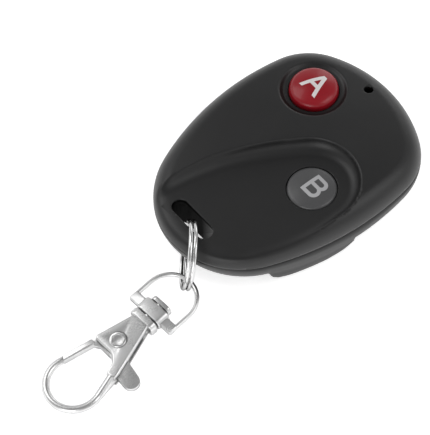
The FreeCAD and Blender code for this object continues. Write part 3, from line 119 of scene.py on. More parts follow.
table_sheet = lay_table("table_sheet", TABLE_HALF_WIDTH, TABLE_HEIGHT)
lit_acrylic = bpy.data.materials.new("lit_acrylic")
lit_acrylic.use_nodes = True
acrylic_shader = lit_acrylic.node_tree.nodes["Principled BSDF"]
acrylic_shader.inputs["Base Color"].default_value = WHITE_ACRYLIC
acrylic_shader.inputs["Roughness"].default_value = TABLE_ROUGHNESS
acrylic_shader.inputs["Emission Color"].default_value = WHITE_ACRYLIC
acrylic_shader.inputs["Emission Strength"].default_value = TABLE_GLOW
table_sheet.data.materials.append(lit_acrylic)
print("table at", round(table_sheet.data.vertices[0].co.z / MM, 3), "mm")

# %% [markdown]
# ## Soft lamps
# Large soft lamps draw the long highlights on the rolled edges of the shell and on the metal.
# Each is an area light on a sphere round the object, given by its turn, its rise and its
# width, so that its highlight can be moved like a real softbox.

# %% Hang the soft lamps
LAMPS = [
    # name, turn, rise, distance, width, watts
    ("left_box", 205, 50, 0.60, 0.36, 0.8),
    ("right_box", 35, 48, 0.60, 0.36, 0.75),
    ("front_box", -62, 22, 0.60, 0.30, 0.6),
    ("back_box", 118, 24, 0.60, 0.26, 0.25),
]


def hang_lamp(name, turn, rise, distance, width, watts):
    """A square area lamp that looks at the origin from a turn and a rise in degrees."""
    around, up = math.radians(turn), math.radians(rise)
    place = distance * Vector((math.cos(around) * math.cos(up),
                               math.sin(around) * math.cos(up), math.sin(up)))
    data = bpy.data.lights.new(name, "AREA")
    data.size = width
    data.energy = watts
    lamp = add_object(name, data)
    lamp.location = place
    lamp.rotation_mode = "QUATERNION"
    lamp.rotation_quaternion = place.to_track_quat("Z", "Y")


for lamp_row in LAMPS:
    hang_lamp(*lamp_row)
print("lamps:", len(LAMPS))

# %% [markdown]
# ## The room
# Shiny things mirror the whole room, so it matters as much as the lamps. This one is brightest
# level with the table and dimmest at the height that the fob's flat top mirrors into the lens,
# so the top stays black while its edges catch light. A curve on the height of each direction
# gives that, and a photographed room isn't needed.

# %% Grade the room
ROOM = [
    # rise of a direction from 0 level to 1 upright, brightness of the room there
    (0.0, 0.95), (0.30, 0.80), (0.62, 0.44), (0.85, 0.30), (1.0, 0.34),
]
CURVE_TOP = 2.0

studio = bpy.data.worlds.new("studio")
studio.use_nodes = True
room_nodes = studio.node_tree.nodes
direction = room_nodes.new("ShaderNodeTexCoord")
height = room_nodes.new("ShaderNodeSeparateXYZ")
strength = room_nodes.new("ShaderNodeMapRange")
curve = room_nodes.new("ShaderNodeFloatCurve")
room_links = studio.node_tree.links
room_links.new(direction.outputs["Generated"], height.inputs[0])
room_links.new(height.outputs["Z"], curve.inputs["Value"])
points = curve.mapping.curves[0].points
while len(points) < len(ROOM):
    points.new(0.5, 0.5)
for point, (level, glow) in zip(points, ROOM):
    point.location = (level, glow / CURVE_TOP)
curve.mapping.update()
room_links.new(curve.outputs["Value"], strength.inputs["Value"])
strength.inputs["To Max"].default_value = CURVE_TOP
room_links.new(strength.outputs["Result"], room_nodes["Background"].inputs["Strength"])
room_nodes["Background"].inputs["Color"].default_value = (1, 1, 1, 1)
bpy.context.scene.world = studio
bpy.context.scene.view_settings.view_transform = "Standard"
print("room graded in", len(ROOM), "steps")

# %% [markdown]
# ## A small language for finishes
# A finish is a material made of nodes. Writing each link by hand hides what the finish does,
# so one class adds any node from its type, its settings and its inputs, and another wraps an
# output so that sums and products of masks are written as ordinary Python.

# %% Wrap sockets


class Signal:
    """An output of a node. Arithmetic on it adds the Math node of that operation."""

    def __init__(self, finish, socket):
        self.finish = finish
        self.socket = socket

    def maths(self, operation, *values):
        return self.finish.node("ShaderNodeMath", {"operation": operation},
                                dict(enumerate(values)))

    def __add__(self, other):
        return self.maths("ADD", self, other)

    def __radd__(self, other):
        return self.maths("ADD", other, self)

    def __sub__(self, other):
        return self.maths("SUBTRACT", self, other)

    def __rsub__(self, other):
        return self.maths("SUBTRACT", other, self)

    def __mul__(self, other):
        return self.maths("MULTIPLY", self, other)

    def __rmul__(self, other):
        return self.maths("MULTIPLY", other, self)

    def __truediv__(self, other):
        return self.maths("DIVIDE", self, other)

    def __rtruediv__(self, other):
        return self.maths("DIVIDE", other, self)

    def __pow__(self, other):
        return self.maths("POWER", self, other)

    def __abs__(self):
        return self.maths("ABSOLUTE", self)

    def sine(self):
        return self.maths("SINE", self)


print("arithmetic:", sum(name.startswith("__r") for name in vars(Signal)), "reflected forms")

# %% Gather the nodes of a finish


class Finish:
    """A material. Its constants sit on the shader's own sockets, and its masks are nodes."""

    def __init__(self, name, **constants):
        self.material = bpy.data.materials.new(name)
        self.material.use_nodes = True
        self.tree = self.material.node_tree
        self.shader = self.tree.nodes["Principled BSDF"]
        for key, value in constants.items():
            self.shader.inputs[key.replace("_", " ")].default_value = value

    def node(self, kind, settings, inputs, output=0):
        """Add a node of a type. Its settings come first, then its inputs by name or number."""
        made = self.tree.nodes.new(kind)
        for key, value in settings.items():
            if key == "stops":
                self.set_stops(made.color_ramp, value)
            else:
                setattr(made, key, value)
        for key, value in inputs.items():
            self.plug(made.inputs[key], value)
        return Signal(self, made.outputs[output])

    @staticmethod
    def set_stops(ramp, stops):
        while len(ramp.elements) < len(stops):
            ramp.elements.new(0.5)
        for element, (place, shade) in zip(ramp.elements, stops):
            element.position = place
            element.color = (shade, shade, shade, 1)

    def plug(self, socket, value):
        if isinstance(value, Signal):
            self.tree.links.new(value.socket, socket)
        else:
            socket.default_value = value

    def feed(self, **inputs):
        for key, value in inputs.items():
            self.plug(self.shader.inputs[key.replace("_", " ")], value)
        return self

    def place(self, stretch=(1, 1, 1)):
        """Object coordinates in metres, stretched along each axis."""
        here = self.node("ShaderNodeTexCoord", {}, {}, "Object")
        return self.node("ShaderNodeMapping", {"vector_type": "POINT"},
                         {"Vector": here, "Scale": stretch})

    def axis(self, where, number):
        """One coordinate of a place: 0 across the fob, 1 along it, 2 upwards."""
        return self.node("ShaderNodeSeparateXYZ", {}, {0: where}, number)

    def noise(self, where, grain, detail=2.0, roughness=0.5):
        """Cloudy value from 0 to 1, whose lumps are about as wide as grain, in metres."""
        return self.node("ShaderNodeTexNoise", {}, {"Vector": where, "Scale": 1 / grain,
                                                    "Detail": detail, "Roughness": roughness})

    def ramp(self, value, stops):
        """Grey ramp through (place, shade) stops."""
        return self.node("ShaderNodeValToRGB", {"stops": stops}, {"Fac": value})

    def fade(self, value, start, end, first=1.0, last=0.0):
        """The first shade up to a start, the last one from an end on, an even way between."""
        return self.ramp(value / (2 * end), [(start / (2 * end), first), (0.5, last)])

    def tint(self, mask, first, second):
        """Colour that goes from the first to the second as the mask goes from 0 to 1."""
        return self.node("ShaderNodeMix", {"data_type": "RGBA"},
                         {0: mask, 6: first, 7: second}, 2)

    def bump(self, height, depth):
        """Normal bent by a height signal whose full range stands for a depth in metres."""
        return self.node("ShaderNodeBump", {}, {"Height": height, "Distance": depth,
                                                "Strength": 1.0})


def rgba(colour, factor=1.0):
    """A colour made darker or paler by a factor, with its alpha."""
    return tuple(factor * part for part in colour) + (1,)


def paint(finish, *names):
    """Give solids of the packed part, or new pieces, a finish."""
    for name in names:
        mesh = bpy.data.objects[name].data
        mesh.materials.clear()
        mesh.materials.append(finish.material)


print("a paler grey:", rgba((0.5, 0.5, 0.5), 1.2))

# %% [markdown]
# ## The outline of the fob
# Seen from above the fob is an egg of six tangent arcs. Everything moulded follows it, so the
# first helper gives, for points evenly spaced round the egg, the centre, the radius and the
# direction of the arc that each lies on. Moving a point inwards is then one subtraction.

# %% Trace the egg
FOB_LENGTH = 58.0
NARROW_RADIUS = 17.95
SIDE_RADIUS = 62.0
SIDE_CENTRE = 35.06
CORNER_RADIUS = 13.45
WIDE_RADIUS = 28.9
RIM_POINTS = 520


def egg_arcs():
    """Centre, radius, first and last angle of the four arcs on the right-hand side."""
    half = FOB_LENGTH / 2
    narrow = np.array([0, NARROW_RADIUS - half])
    rise = SIDE_CENTRE - NARROW_RADIUS
    side = np.array([-math.sqrt((SIDE_RADIUS - NARROW_RADIUS) ** 2 - rise ** 2),
                     SIDE_CENTRE - half])
    wide = np.array([0, half - WIDE_RADIUS])
    span = wide - side
    length = np.linalg.norm(span)
    far, near = SIDE_RADIUS - CORNER_RADIUS, WIDE_RADIUS - CORNER_RADIUS
    along = (far ** 2 - near ** 2 + length ** 2) / (2 * length)
    unit = span / length
    across = np.array([-unit[1], unit[0]])
    corner = side + unit * along + across * math.sqrt(far ** 2 - along ** 2)
    low = math.atan2(*(narrow - side)[::-1])
    middle = math.atan2(*(corner - side)[::-1])
    high = math.atan2(*(corner - wide)[::-1])
    return [(narrow, NARROW_RADIUS, -math.pi / 2, low), (side, SIDE_RADIUS, low, middle),
            (corner, CORNER_RADIUS, middle, high), (wide, WIDE_RADIUS, high, math.pi / 2)]


def egg_rim(count):
    """Centres, radii and outward directions at points evenly spaced along the whole egg."""
    arcs = egg_arcs()
    lengths = np.array([radius * (last - first) for _, radius, first, last in arcs])
    ends = np.concatenate([[0], np.cumsum(lengths)])
    travel = (np.arange(count) + 0.5) / count * 2 * ends[-1]
    mirrored = travel > ends[-1]
    travel = np.where(mirrored, 2 * ends[-1] - travel, travel)
    which = np.clip(np.searchsorted(ends, travel) - 1, 0, len(arcs) - 1)
    centre = np.array([arc[0] for arc in arcs])[which]
    radius = np.array([arc[1] for arc in arcs])[which]
    first = np.array([arc[2] for arc in arcs])[which]
    angle = first + (travel - ends[which]) / radius
    sign = np.where(mirrored, -1.0, 1.0)
    outward = np.stack([np.cos(angle) * sign, np.sin(angle)], -1)
    centre = centre * np.stack([sign, np.ones(count)], -1)
    return centre, radius, outward


print("egg arcs:", [round(float(radius), 2) for _, radius, _, _ in egg_arcs()])

# %% [markdown]
# ## Faces from rows of points
# The shells, the ring and the caps are each a stack of rows of points, and each row closes on
# itself. The faces depend only on how many rows and points there are, so three helpers serve
# all of them: quads between rows, triangles from an end to a tip, and smooth shading that
# keeps only true corners sharp.

# %% Faces and shading


def strip_faces(rows, sides):
    """Quads between neighbouring rows of points that each close on themselves."""
    column = np.arange(sides)
    following = (column + 1) % sides
    low = np.arange(rows - 1)[:, None] * sides
    return np.stack([low + column, low + following, low + sides + following,
                     low + sides + column], -1).reshape(-1, 4)


def fan_faces(start, sides, tip):
    """Triangles from a closed row, given by its first point's number, to a tip."""
    column = np.arange(sides)
    following = (column + 1) % sides
    return np.stack([start + column, start + following, np.full(sides, tip)], -1)


def shade_smooth(mesh, sharp_angle=None):
    """Smooth shading. With an angle, edges bent more than that stay sharp."""
    mesh.polygons.foreach_set("use_smooth", np.ones(len(mesh.polygons), bool))
    if sharp_angle is not None:
        mesh.set_sharp_from_angle(angle=sharp_angle)


print("a closed strip of 2 rows and 8 sides has", len(strip_faces(2, 8)), "faces")

# %% [markdown]
# ## Soft moulded shells
# The upper half of the real shell has no hard edge: its rim rolls over, the comma-shaped
# scoop round button B and the dish round button A run softly into it. A height over the plan
# gives all of that at once. Two heights are joined by a smooth minimum, which is the lower of
# the two with a rounded crest where they cross. The closed form under that surface then trims
# a copy of the solid shell, so its holes, bosses and walls stay as they are.

# %% Smooth minimum and soft walls
SCOOP_FLOOR = 11.4
SCOOP_FOOT = 2.6
SCOOP_SLOPE = math.radians(74)
SCOOP_SOFTNESS = 0.5
SCOOP_FADED = 2.2
SCOOP_FADE_START = 1.0
SCOOP_FADE_LENGTH = 18.0
DISH_PLACE = (-8.3, 15.5)
DISH_RADIUS = 6.9
DISH_FLOOR = 12.3
DISH_FOOT = 1.1
DISH_SLOPE = math.radians(62)
DISH_SOFTNESS = 0.45


def smooth_step(share):
    """0 to 1 with flat ends, for a whole array."""
    share = np.clip(share, 0, 1)
    return share * share * (3 - 2 * share)


def soft_lower(first, second, softness):
    """The lower of two heights, rounded over a band of that height where they cross."""
    share = np.clip(0.5 + 0.5 * (second - first) / softness, 0, 1)
    return second + (first - second) * share - softness * share * (1 - share)


def wall_rise(inside, foot, slope):
    """Height of a wall over its floor: a round foot, then a straight slope, at a distance
    inside its brink."""
    bend = foot * (1 - math.sin(slope))
    ground = np.clip(foot - inside, 0, foot - bend)
    return (foot - np.sqrt(foot ** 2 - ground ** 2)
            + np.maximum(bend - inside, 0) * math.tan(slope))


print("a wall 1 mm inside its brink rises",
      round(float(wall_rise(np.array([1.0]), SCOOP_FOOT, SCOOP_SLOPE)[0]), 2), "mm")

# %% [markdown]
# ## The comma-shaped scoop
# Button B lies in a scoop shaped like a comma: a round end beyond the button, and two long
# flanks that run out over the narrow end. It could be drawn as a Bezier curve. Here it is six
# arcs through three points each, because such points can be read off a plan, and neighbours
# share their ends. How far a point lies inside the outline sets the height of the wall there.

# %% Outline of the scoop
SCOOP_END = (9.1, 0.3)
SCOOP_END_RADIUS = 10.0
SCOOP_ARC_POINTS = 24


def three_point_arc(start, through, end, count):
    """Points on the circle through three points, from the first to the last.

    With the points as complex numbers, the ratio of two chords gives the circle's hub.
    """
    a, b, c = (complex(*point) for point in (start, through, end))
    ratio = (c - a) / (b - a)
    hub = a - (a - b) * (ratio - abs(ratio) ** 2) / (2j * ratio.imag)
    first, middle, last = (math.atan2((p - hub).imag, (p - hub).real) for p in (a, b, c))
    sweep = (last - first) % math.tau
    if (middle - first) % math.tau > sweep:
        sweep -= math.tau
    angles = first + sweep * np.linspace(0, 1, count)
    return np.stack([hub.real + abs(a - hub) * np.cos(angles),
                     hub.imag + abs(a - hub) * np.sin(angles)], -1)


def signed_inside(points, outline):
    """Distance of each point inside a closed outline; outside it is negative."""
    nearest = np.full(len(points), np.inf)
    crossed = np.zeros(len(points), bool)
    for start, end in zip(outline, np.roll(outline, -1, axis=0)):
        step = end - start
        offset = points - start
        share = np.clip(offset @ step / (step @ step), 0, 1)
        nearest = np.minimum(nearest, np.hypot(*(offset - share[:, None] * step).T))
        straddles = (start[1] > points[:, 1]) != (end[1] > points[:, 1])
        with np.errstate(divide="ignore", invalid="ignore"):
            reach = start[0] + (points[:, 1] - start[1]) * step[0] / step[1]
        crossed ^= straddles & (points[:, 0] < reach)
    return np.where(crossed, nearest, -nearest)


def scoop_outline():
    """The comma: a round end beyond button B, and two long flanks to the narrow end."""
    def on_end(angle):
        turn = math.radians(angle)
        return (SCOOP_END[0] + SCOOP_END_RADIUS * math.cos(turn),
                SCOOP_END[1] + SCOOP_END_RADIUS * math.sin(turn))

    # each arc by its start, a point on it and its end, in mm on the plan
    arcs = [((-10.4, -33.0), (-9.9, -19.5), (-8.1, -11.0)),
            ((-8.1, -11.0), (-4.2, -2.1), on_end(142)),
            (on_end(142), on_end(60), on_end(-4)),
            (on_end(-4), (18.3, -10.5), (15.2, -19.5)),
            ((15.2, -19.5), (12.1, -24.6), (7.0, -27.6)),
            ((7.0, -27.6), (2.0, -29.6), (-3.0, -33.0))]
    return np.concatenate([three_point_arc(*arc, SCOOP_ARC_POINTS)[:-1] for arc in arcs]
                          + [np.array([arcs[-1][-1]])])


comma = scoop_outline()
print("comma of", len(comma), "points")

# %% [markdown]
# ## The upper surface
# A square grid over the egg would show steps where the rim rolls over. So the outer rows are
# parallel to the egg, closest together at the rim, and the inner rows shrink towards a core.
# Sculpting would give such a form as well, but here one number changes a radius everywhere.

# %% Rows over the egg
SKIN_MARGIN = 0.03
UPPER_ROLL = 4.6
INSET_ROWS = 34
CORE_ROWS = 62
ROLL_ROWS = 14
DEEPEST_INSET = 12.2
CORE = (0.0, 1.0)


def plan_rows(roll):
    """Plan points in rows from the rim to the core, with each point's distance from the rim.

    Down to the deepest inset the rows are parallel to the egg. From there each row is the
    last one shrunk towards the core.
    """
    centre, radius, outward = egg_rim(RIM_POINTS)
    turn = np.linspace(0, math.pi / 2, ROLL_ROWS)
    insets = np.concatenate([roll * (1 - np.cos(turn)),
                             np.linspace(roll, DEEPEST_INSET, INSET_ROWS)[1:]])
    rows = centre + outward * (radius - insets[:, None] - SKIN_MARGIN)[:, :, None]
    depth = np.repeat(insets[:, None], RIM_POINTS, 1)
    shrink = np.linspace(1, 0, CORE_ROWS + 1)[1:-1]
    core = np.array(CORE)
    inner = core + (rows[-1] - core) * shrink[:, None, None]
    inner_depth = DEEPEST_INSET + (1 - shrink[:, None]) * np.hypot(*(rows[-1] - core).T)
    return np.concatenate([rows, inner]), np.concatenate([depth, inner_depth])


upper_plan, upper_depth = plan_rows(UPPER_ROLL)
print("plan of", upper_plan.shape[0], "rows of", upper_plan.shape[1], "points")

# %% Heights of the upper surface
TOP_HEIGHT = 14.2
CROWN_RADIUS = 200.0


def rolled_edge(depth, roll, rim_height, rise):
    """Height of a circle that is tangent to the upright rim and to a face that rises inwards.

    rim_height is that face carried out to the rim, and rise is its slope there.
    """
    centre = rim_height + roll * (rise - np.sqrt(1 + rise ** 2))
    return centre + np.sqrt(np.maximum(roll ** 2 - (roll - np.minimum(depth, roll)) ** 2, 0))


def upper_surface(plan, depth):
    """Height of the upper shell: crowned top, rolled rim, scoop and dish."""
    x, y = plan[..., 0], plan[..., 1]
    crown = TOP_HEIGHT - CROWN_RADIUS + np.sqrt(CROWN_RADIUS ** 2 - x ** 2 - y ** 2)
    outward = plan[0] - plan[1]
    outward /= np.hypot(*outward.T)[:, None]
    rise = (plan[0] * outward).sum(-1) / CROWN_RADIUS
    edge = rolled_edge(depth, UPPER_ROLL, crown[0], rise)
    face = np.where(depth < UPPER_ROLL * (1 - np.sin(np.arctan(rise))), edge, crown)
    face = np.minimum(face, crown)
    inside = signed_inside(plan.reshape(-1, 2), comma).reshape(depth.shape)
    scoop = SCOOP_FLOOR + wall_rise(inside, SCOOP_FOOT, SCOOP_SLOPE)
    within = DISH_RADIUS - np.hypot(x - DISH_PLACE[0], y - DISH_PLACE[1])
    dish = DISH_FLOOR + wall_rise(within, DISH_FOOT, DISH_SLOPE)
    fading = smooth_step((SCOOP_FADE_START - y) / SCOOP_FADE_LENGTH)
    softness = SCOOP_SOFTNESS + (SCOOP_FADED - SCOOP_SOFTNESS) * fading
    return soft_lower(soft_lower(face, scoop, softness), dish, DISH_SOFTNESS) - SKIN_MARGIN


upper_heights = upper_surface(upper_plan, upper_depth)
print("upper surface", upper_heights.shape, "from", round(float(upper_heights.min()), 2), "to",
      round(float(upper_heights.max()), 2), "mm")

# %% [markdown]
# ## The underside
# From below the fob is a shallow bowl with a rounded box across it, which holds the cell. The
# bowl is part of a sphere with a rolled rim. The hump is one profile along the fob, the same
# all the way across, closed at its sides by a tub that is parallel to the rim.

# %% Underside with the battery hump
BELLY_RADIUS = 150.0
BELLY_CENTRE = 2.0
BELLY_LOW = -0.4
LOWER_ROLL = 5.2
HUMP_INSET = 0.3
HUMP_ROLL = 2.4
HUMP_SOFTNESS = 2.6
BEYOND = 60.0
HUMP_LINE = [
    # place along the fob and height of the hump's underside there; BEYOND is no hump
    (-BEYOND, BEYOND), (-17.2, 5.0), (-16.5, 2.7), (-15.2, 1.15), (-12.6, 0.0), (-4.8, 0.0),
    (-1.1, 1.4), (1.9, 3.6), (2.0, BEYOND), (BEYOND, BEYOND),
]


def lower_surface(plan, depth):
    """Height of the underside: domed belly with a rolled rim, and the hump over the cell.

    The hump is the higher, that is the inner, of its line along the fob and a rolled tub,
    joined by a smooth maximum so that its corners are round.
    """
    x, y = plan[..., 0], plan[..., 1]
    belly = (BELLY_LOW + BELLY_RADIUS
             - np.sqrt(BELLY_RADIUS ** 2 - x ** 2 - (y - BELLY_CENTRE) ** 2))
    roll = LOWER_ROLL
    bowl = belly + roll - np.sqrt(roll ** 2 - (roll - np.minimum(depth, roll)) ** 2)
    line = np.interp(y, *np.array(HUMP_LINE).T)
    inner = np.clip(depth - HUMP_INSET, 0, HUMP_ROLL)
    tub = HUMP_ROLL - np.sqrt(HUMP_ROLL ** 2 - (HUMP_ROLL - inner) ** 2)
    tub = np.where(depth < HUMP_INSET, BEYOND, tub)
    hump = -soft_lower(-line, -tub, HUMP_SOFTNESS)
    return np.minimum(bowl, hump) + SKIN_MARGIN


lower_plan, lower_depth = plan_rows(LOWER_ROLL)
lower_heights = lower_surface(lower_plan, lower_depth)
print("lower surface from", round(float(lower_heights.min()), 2), "mm")

# %% [markdown]
# ## Trimming the shells
# A surface isn't a shell: it has no holes, bosses or inner walls. The packed solid has them
# all, so a welded copy of it is intersected with a closed form under the new surface. The
# Manifold solver is quick and leaves the result closed.

# %% Close a form under a surface
BELOW_TOP_HALF = -1.0
ABOVE_BOTTOM_HALF = 12.0


def close_surface(name, plan, heights, ground, flip=False):
    """Mesh of the closed form between a surface over the egg and a level ground."""
    count = plan.shape[1]
    surface = np.concatenate([plan, heights[:, :, None]], -1)
    skirt = np.concatenate([plan[:1], np.full((1, count, 1), ground)], -1)
    grid = np.concatenate([skirt, surface])
    poles = np.array([[*CORE, heights[-1].mean()], [*CORE, ground]])
    points = np.concatenate([grid.reshape(-1, 3), poles]) * MM
    top_fan = fan_faces((len(grid) - 1) * count, count, len(points) - 2)
    base_fan = fan_faces(0, count, len(points) - 1)[:, ::-1]
    faces = strip_faces(len(grid), count).tolist() + top_fan.tolist() + base_fan.tolist()
    if flip:
        faces = [face[::-1] for face in faces]
    mesh = bpy.data.meshes.new(name)
    mesh.from_pydata(points.tolist(), [], faces)
    return mesh


top_form = close_surface("top_form", upper_plan, upper_heights, BELOW_TOP_HALF)
bottom_form = close_surface("bottom_form", lower_plan, lower_heights, ABOVE_BOTTOM_HALF,
                            flip=True)
print("forms of", len(top_form.polygons), "and", len(bottom_form.polygons), "faces")

# %% Trim copies of the solid shells
SOFT_ANGLE = math.radians(38)
WELD_DISTANCE = 0.002 * MM


def welded_copy(name, source):
    """A copy of a solid's mesh whose loose triangles are merged at their corners."""
    copy = add_object(name, solids[source].data.copy())
    work = bmesh.new()
    work.from_mesh(copy.data)
    bmesh.ops.remove_doubles(work, verts=work.verts, dist=WELD_DISTANCE)
    work.to_mesh(copy.data)
    work.free()
    copy.data.materials.clear()
    return copy


def settle(piece):
    """Replace a piece's mesh with what its modifiers make of it."""
    made = bpy.data.meshes.new_from_object(
        piece.evaluated_get(bpy.context.evaluated_depsgraph_get()))
    piece.modifiers.clear()
    piece.data = made


def trim_to(piece, form_mesh):
    """Keep only what of a piece lies inside a closed form."""
    form = add_object("trimming_form", form_mesh)
    cut = piece.modifiers.new("trim", "BOOLEAN")
    cut.operation = "INTERSECT"
    cut.solver = "MANIFOLD"
    cut.object = form
    settle(piece)
    bpy.data.objects.remove(form)
    faces = piece.data.polygons
    faces.foreach_set("material_index", np.zeros(len(faces), int))
    piece.data.materials.clear()
    shade_smooth(piece.data, SOFT_ANGLE)
    return piece


for name, node, form in (("top_half", "upper_shell", top_form),
                         ("bottom_half", "lower_shell", bottom_form)):
    half = trim_to(welded_copy(name, node), form)
    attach(half, "fob")
    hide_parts(node)
    print(half.name, len(half.data.polygons), "faces")

# %% [markdown]
# ## Rolled edges on the clasp
# The clasp is cast and tumbled, so its edges are rolled over one or two tenths of a millimetre
# and catch a thin highlight. The solids have most edges sharp. A welded copy of each gets a
# Bevel modifier on its sharp edges only, which cuts inwards and so stays in the same space.

# %% Roll the edges
CLASP_PIECES = [
    # new piece, solid, body, width of the rolled edge in mm
    ("loop_and_hub", "swivel_bail", "bail", 0.16),
    ("mushroom_pin", "swivel_pin", "clasp", 0.14),
    ("cheeks_and_hook", "clasp_body", "clasp", 0.14),
    ("gate_and_tab", "gate_lever", "gate", 0.18),
    ("ringed_rivet", "gate_rivet", "clasp", 0.05),
]
SHARP_ANGLE = math.radians(40)
FLAT_ANGLE = math.radians(0.6)


def roll_edges(name, source, body, width):
    """Welded copy of a solid whose sharp edges are rolled over a width."""
    piece = welded_copy(name, source)
    work = bmesh.new()
    work.from_mesh(piece.data)
    bmesh.ops.dissolve_limit(work, angle_limit=FLAT_ANGLE, verts=work.verts, edges=work.edges)
    work.to_mesh(piece.data)
    work.free()
    roll = piece.modifiers.new("roll", "BEVEL")
    roll.width = width * MM
    roll.segments = 3
    roll.limit_method = "ANGLE"
    roll.angle_limit = SHARP_ANGLE
    roll.harden_normals = True
    shade_smooth(piece.data)
    settle(piece)
    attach(piece, body)
    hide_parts(source)
    return piece


rolled = {row[0]: roll_edges(*row) for row in CLASP_PIECES}
print({name: len(piece.data.polygons) for name, piece in rolled.items()})

# %% [markdown]
# ## The split ring
# A split ring is one length of spring wire wound nearly twice. Its two strands lie side by
# side, a hair apart, and a short step leads from one to the other. The path is a circle whose
# height over its own plane follows a smooth step, and the wire is a circle carried along it.
# The solid leaves air between the strands, so this drawn wire is a little thicker and its
# strands lie closer, within the same outside.

# %% Path of the ring
RING_CENTRE = np.array([3.824, -27.917, 7.474])
RING_YAW = math.radians(50)
RING_LEAN = math.radians(9.8)
RING_SEAM = math.radians(-115)
RING_OUTSIDE = 7.31
RING_WIRE = 0.86
RING_STEP = 0.95
RING_FLAT = 0.75
RING_POINTS = 420


def ring_path(count):
    """Middle of the wire: a circle that steps from one strand's plane to the other's."""
    turn = np.linspace(0, 1 + RING_FLAT, count)
    angle = math.tau * turn + RING_SEAM
    radius = RING_OUTSIDE - RING_WIRE / 2
    aside = RING_STEP * (smooth_step((turn - RING_FLAT) / (1 - RING_FLAT)) - 0.5)
    outward = np.array([math.sin(RING_YAW), -math.cos(RING_YAW), 0])
    upward = np.array([math.cos(RING_YAW) * math.sin(RING_LEAN),
                       math.sin(RING_YAW) * math.sin(RING_LEAN), math.cos(RING_LEAN)])
    sideways = np.cross(outward, upward)
    return (RING_CENTRE + radius * (np.cos(angle)[:, None] * outward
                                    + np.sin(angle)[:, None] * upward)
            + aside[:, None] * sideways)


print("wire of", round(float(np.linalg.norm(np.diff(ring_path(RING_POINTS), axis=0),
                                            axis=1).sum()), 1), "mm")

# %% Draw the wire


def drawn_wire(name, path, radius, sides=28, nose_rows=6):
    """Round wire along a path, with rounded ends.

    Each ring of points is the path's point plus radius times the cosine and sine of the
    angle round it, on two axes square to the path. Towards an end the radius follows a
    quarter circle over one radius of length.
    """
    tangent = np.gradient(path, axis=0)
    tangent /= np.linalg.norm(tangent, axis=1)[:, None]
    quarter = np.linspace(0, math.pi / 2, nose_rows + 1)[1:]
    nose = np.sin(quarter) * radius
    reach = np.cos(quarter) * radius
    first = path[0] - tangent[0] * reach[:-1, None]
    last = path[-1] + tangent[-1] * reach[:-1, None][::-1]
    line = np.concatenate([first, path, last])
    along = np.concatenate([np.repeat(tangent[:1], nose_rows - 1, 0), tangent,
                            np.repeat(tangent[-1:], nose_rows - 1, 0)])
    size = np.concatenate([nose[:-1], np.full(len(path), radius), nose[:-1][::-1]])
    middle = path.mean(0)
    inward = middle - line
    inward -= (inward * along).sum(1)[:, None] * along
    inward /= np.linalg.norm(inward, axis=1)[:, None]
    beside = np.cross(along, inward)
    angle = np.linspace(0, math.tau, sides, endpoint=False)
    rings = (line[:, None] + size[:, None, None]
             * (np.cos(angle)[None, :, None] * inward[:, None]
                + np.sin(angle)[None, :, None] * beside[:, None]))
    tips = np.array([path[0] - tangent[0] * radius, path[-1] + tangent[-1] * radius])
    points = np.concatenate([rings.reshape(-1, 3), tips]) * MM
    start_fan = fan_faces(0, sides, len(points) - 2)[:, ::-1]
    end_fan = fan_faces((len(line) - 1) * sides, sides, len(points) - 1)
    mesh = bpy.data.meshes.new(name)
    mesh.from_pydata(points.tolist(), [], strip_faces(len(line), sides).tolist()
                     + start_fan.tolist() + end_fan.tolist())
    work = bmesh.new()
    work.from_mesh(mesh)
    bmesh.ops.recalc_face_normals(work, faces=work.faces)
    work.to_mesh(mesh)
    work.free()
    shade_smooth(mesh)
    return add_object(name, mesh)


wound_ring = drawn_wire("wound_ring", ring_path(RING_POINTS), RING_WIRE / 2)
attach(wound_ring, "ring")
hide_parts("split_ring")
print("ring of", len(wound_ring.data.polygons), "faces")

# %% [markdown]
# ## Caps
# In the photograph both caps are low domes with a round shoulder, rounder than the solids'.
# Each is a turned piece, so its half-section is written as points in mm and carried round the
# cap's axis. The Screw modifier does that too, but a function gives its points at once, and
# the section can be worked out from the cap's few sizes.

# %% Half-section of a cap
CAP_RADIUS = 5.2
CAP_WALL = 1.45
SKIRT_BORE = 4.3
BOSS_RADIUS = 1.6
FLANGE_RADIUS = 6.1
FLANGE_THICKNESS = 0.6
BOSS_BASE = 9.32
DOME_POINTS = 14
SHOULDER_POINTS = 10
CAPS = [
    # cap, letter, node of each, place, underside of the flange, top of the solid, drop,
    # dome's radius and bend, in mm
    ("red_cap", "letter_a", "button_a", "legend_a", (-8.3, 15.5), 10.35, 14.8, 0.05, 4.2, 12.0),
    ("grey_cap", "letter_b", "button_b", "legend_b", (9.5, -0.1), 9.45, 12.2, 0.02, 4.6, 20.0),
]


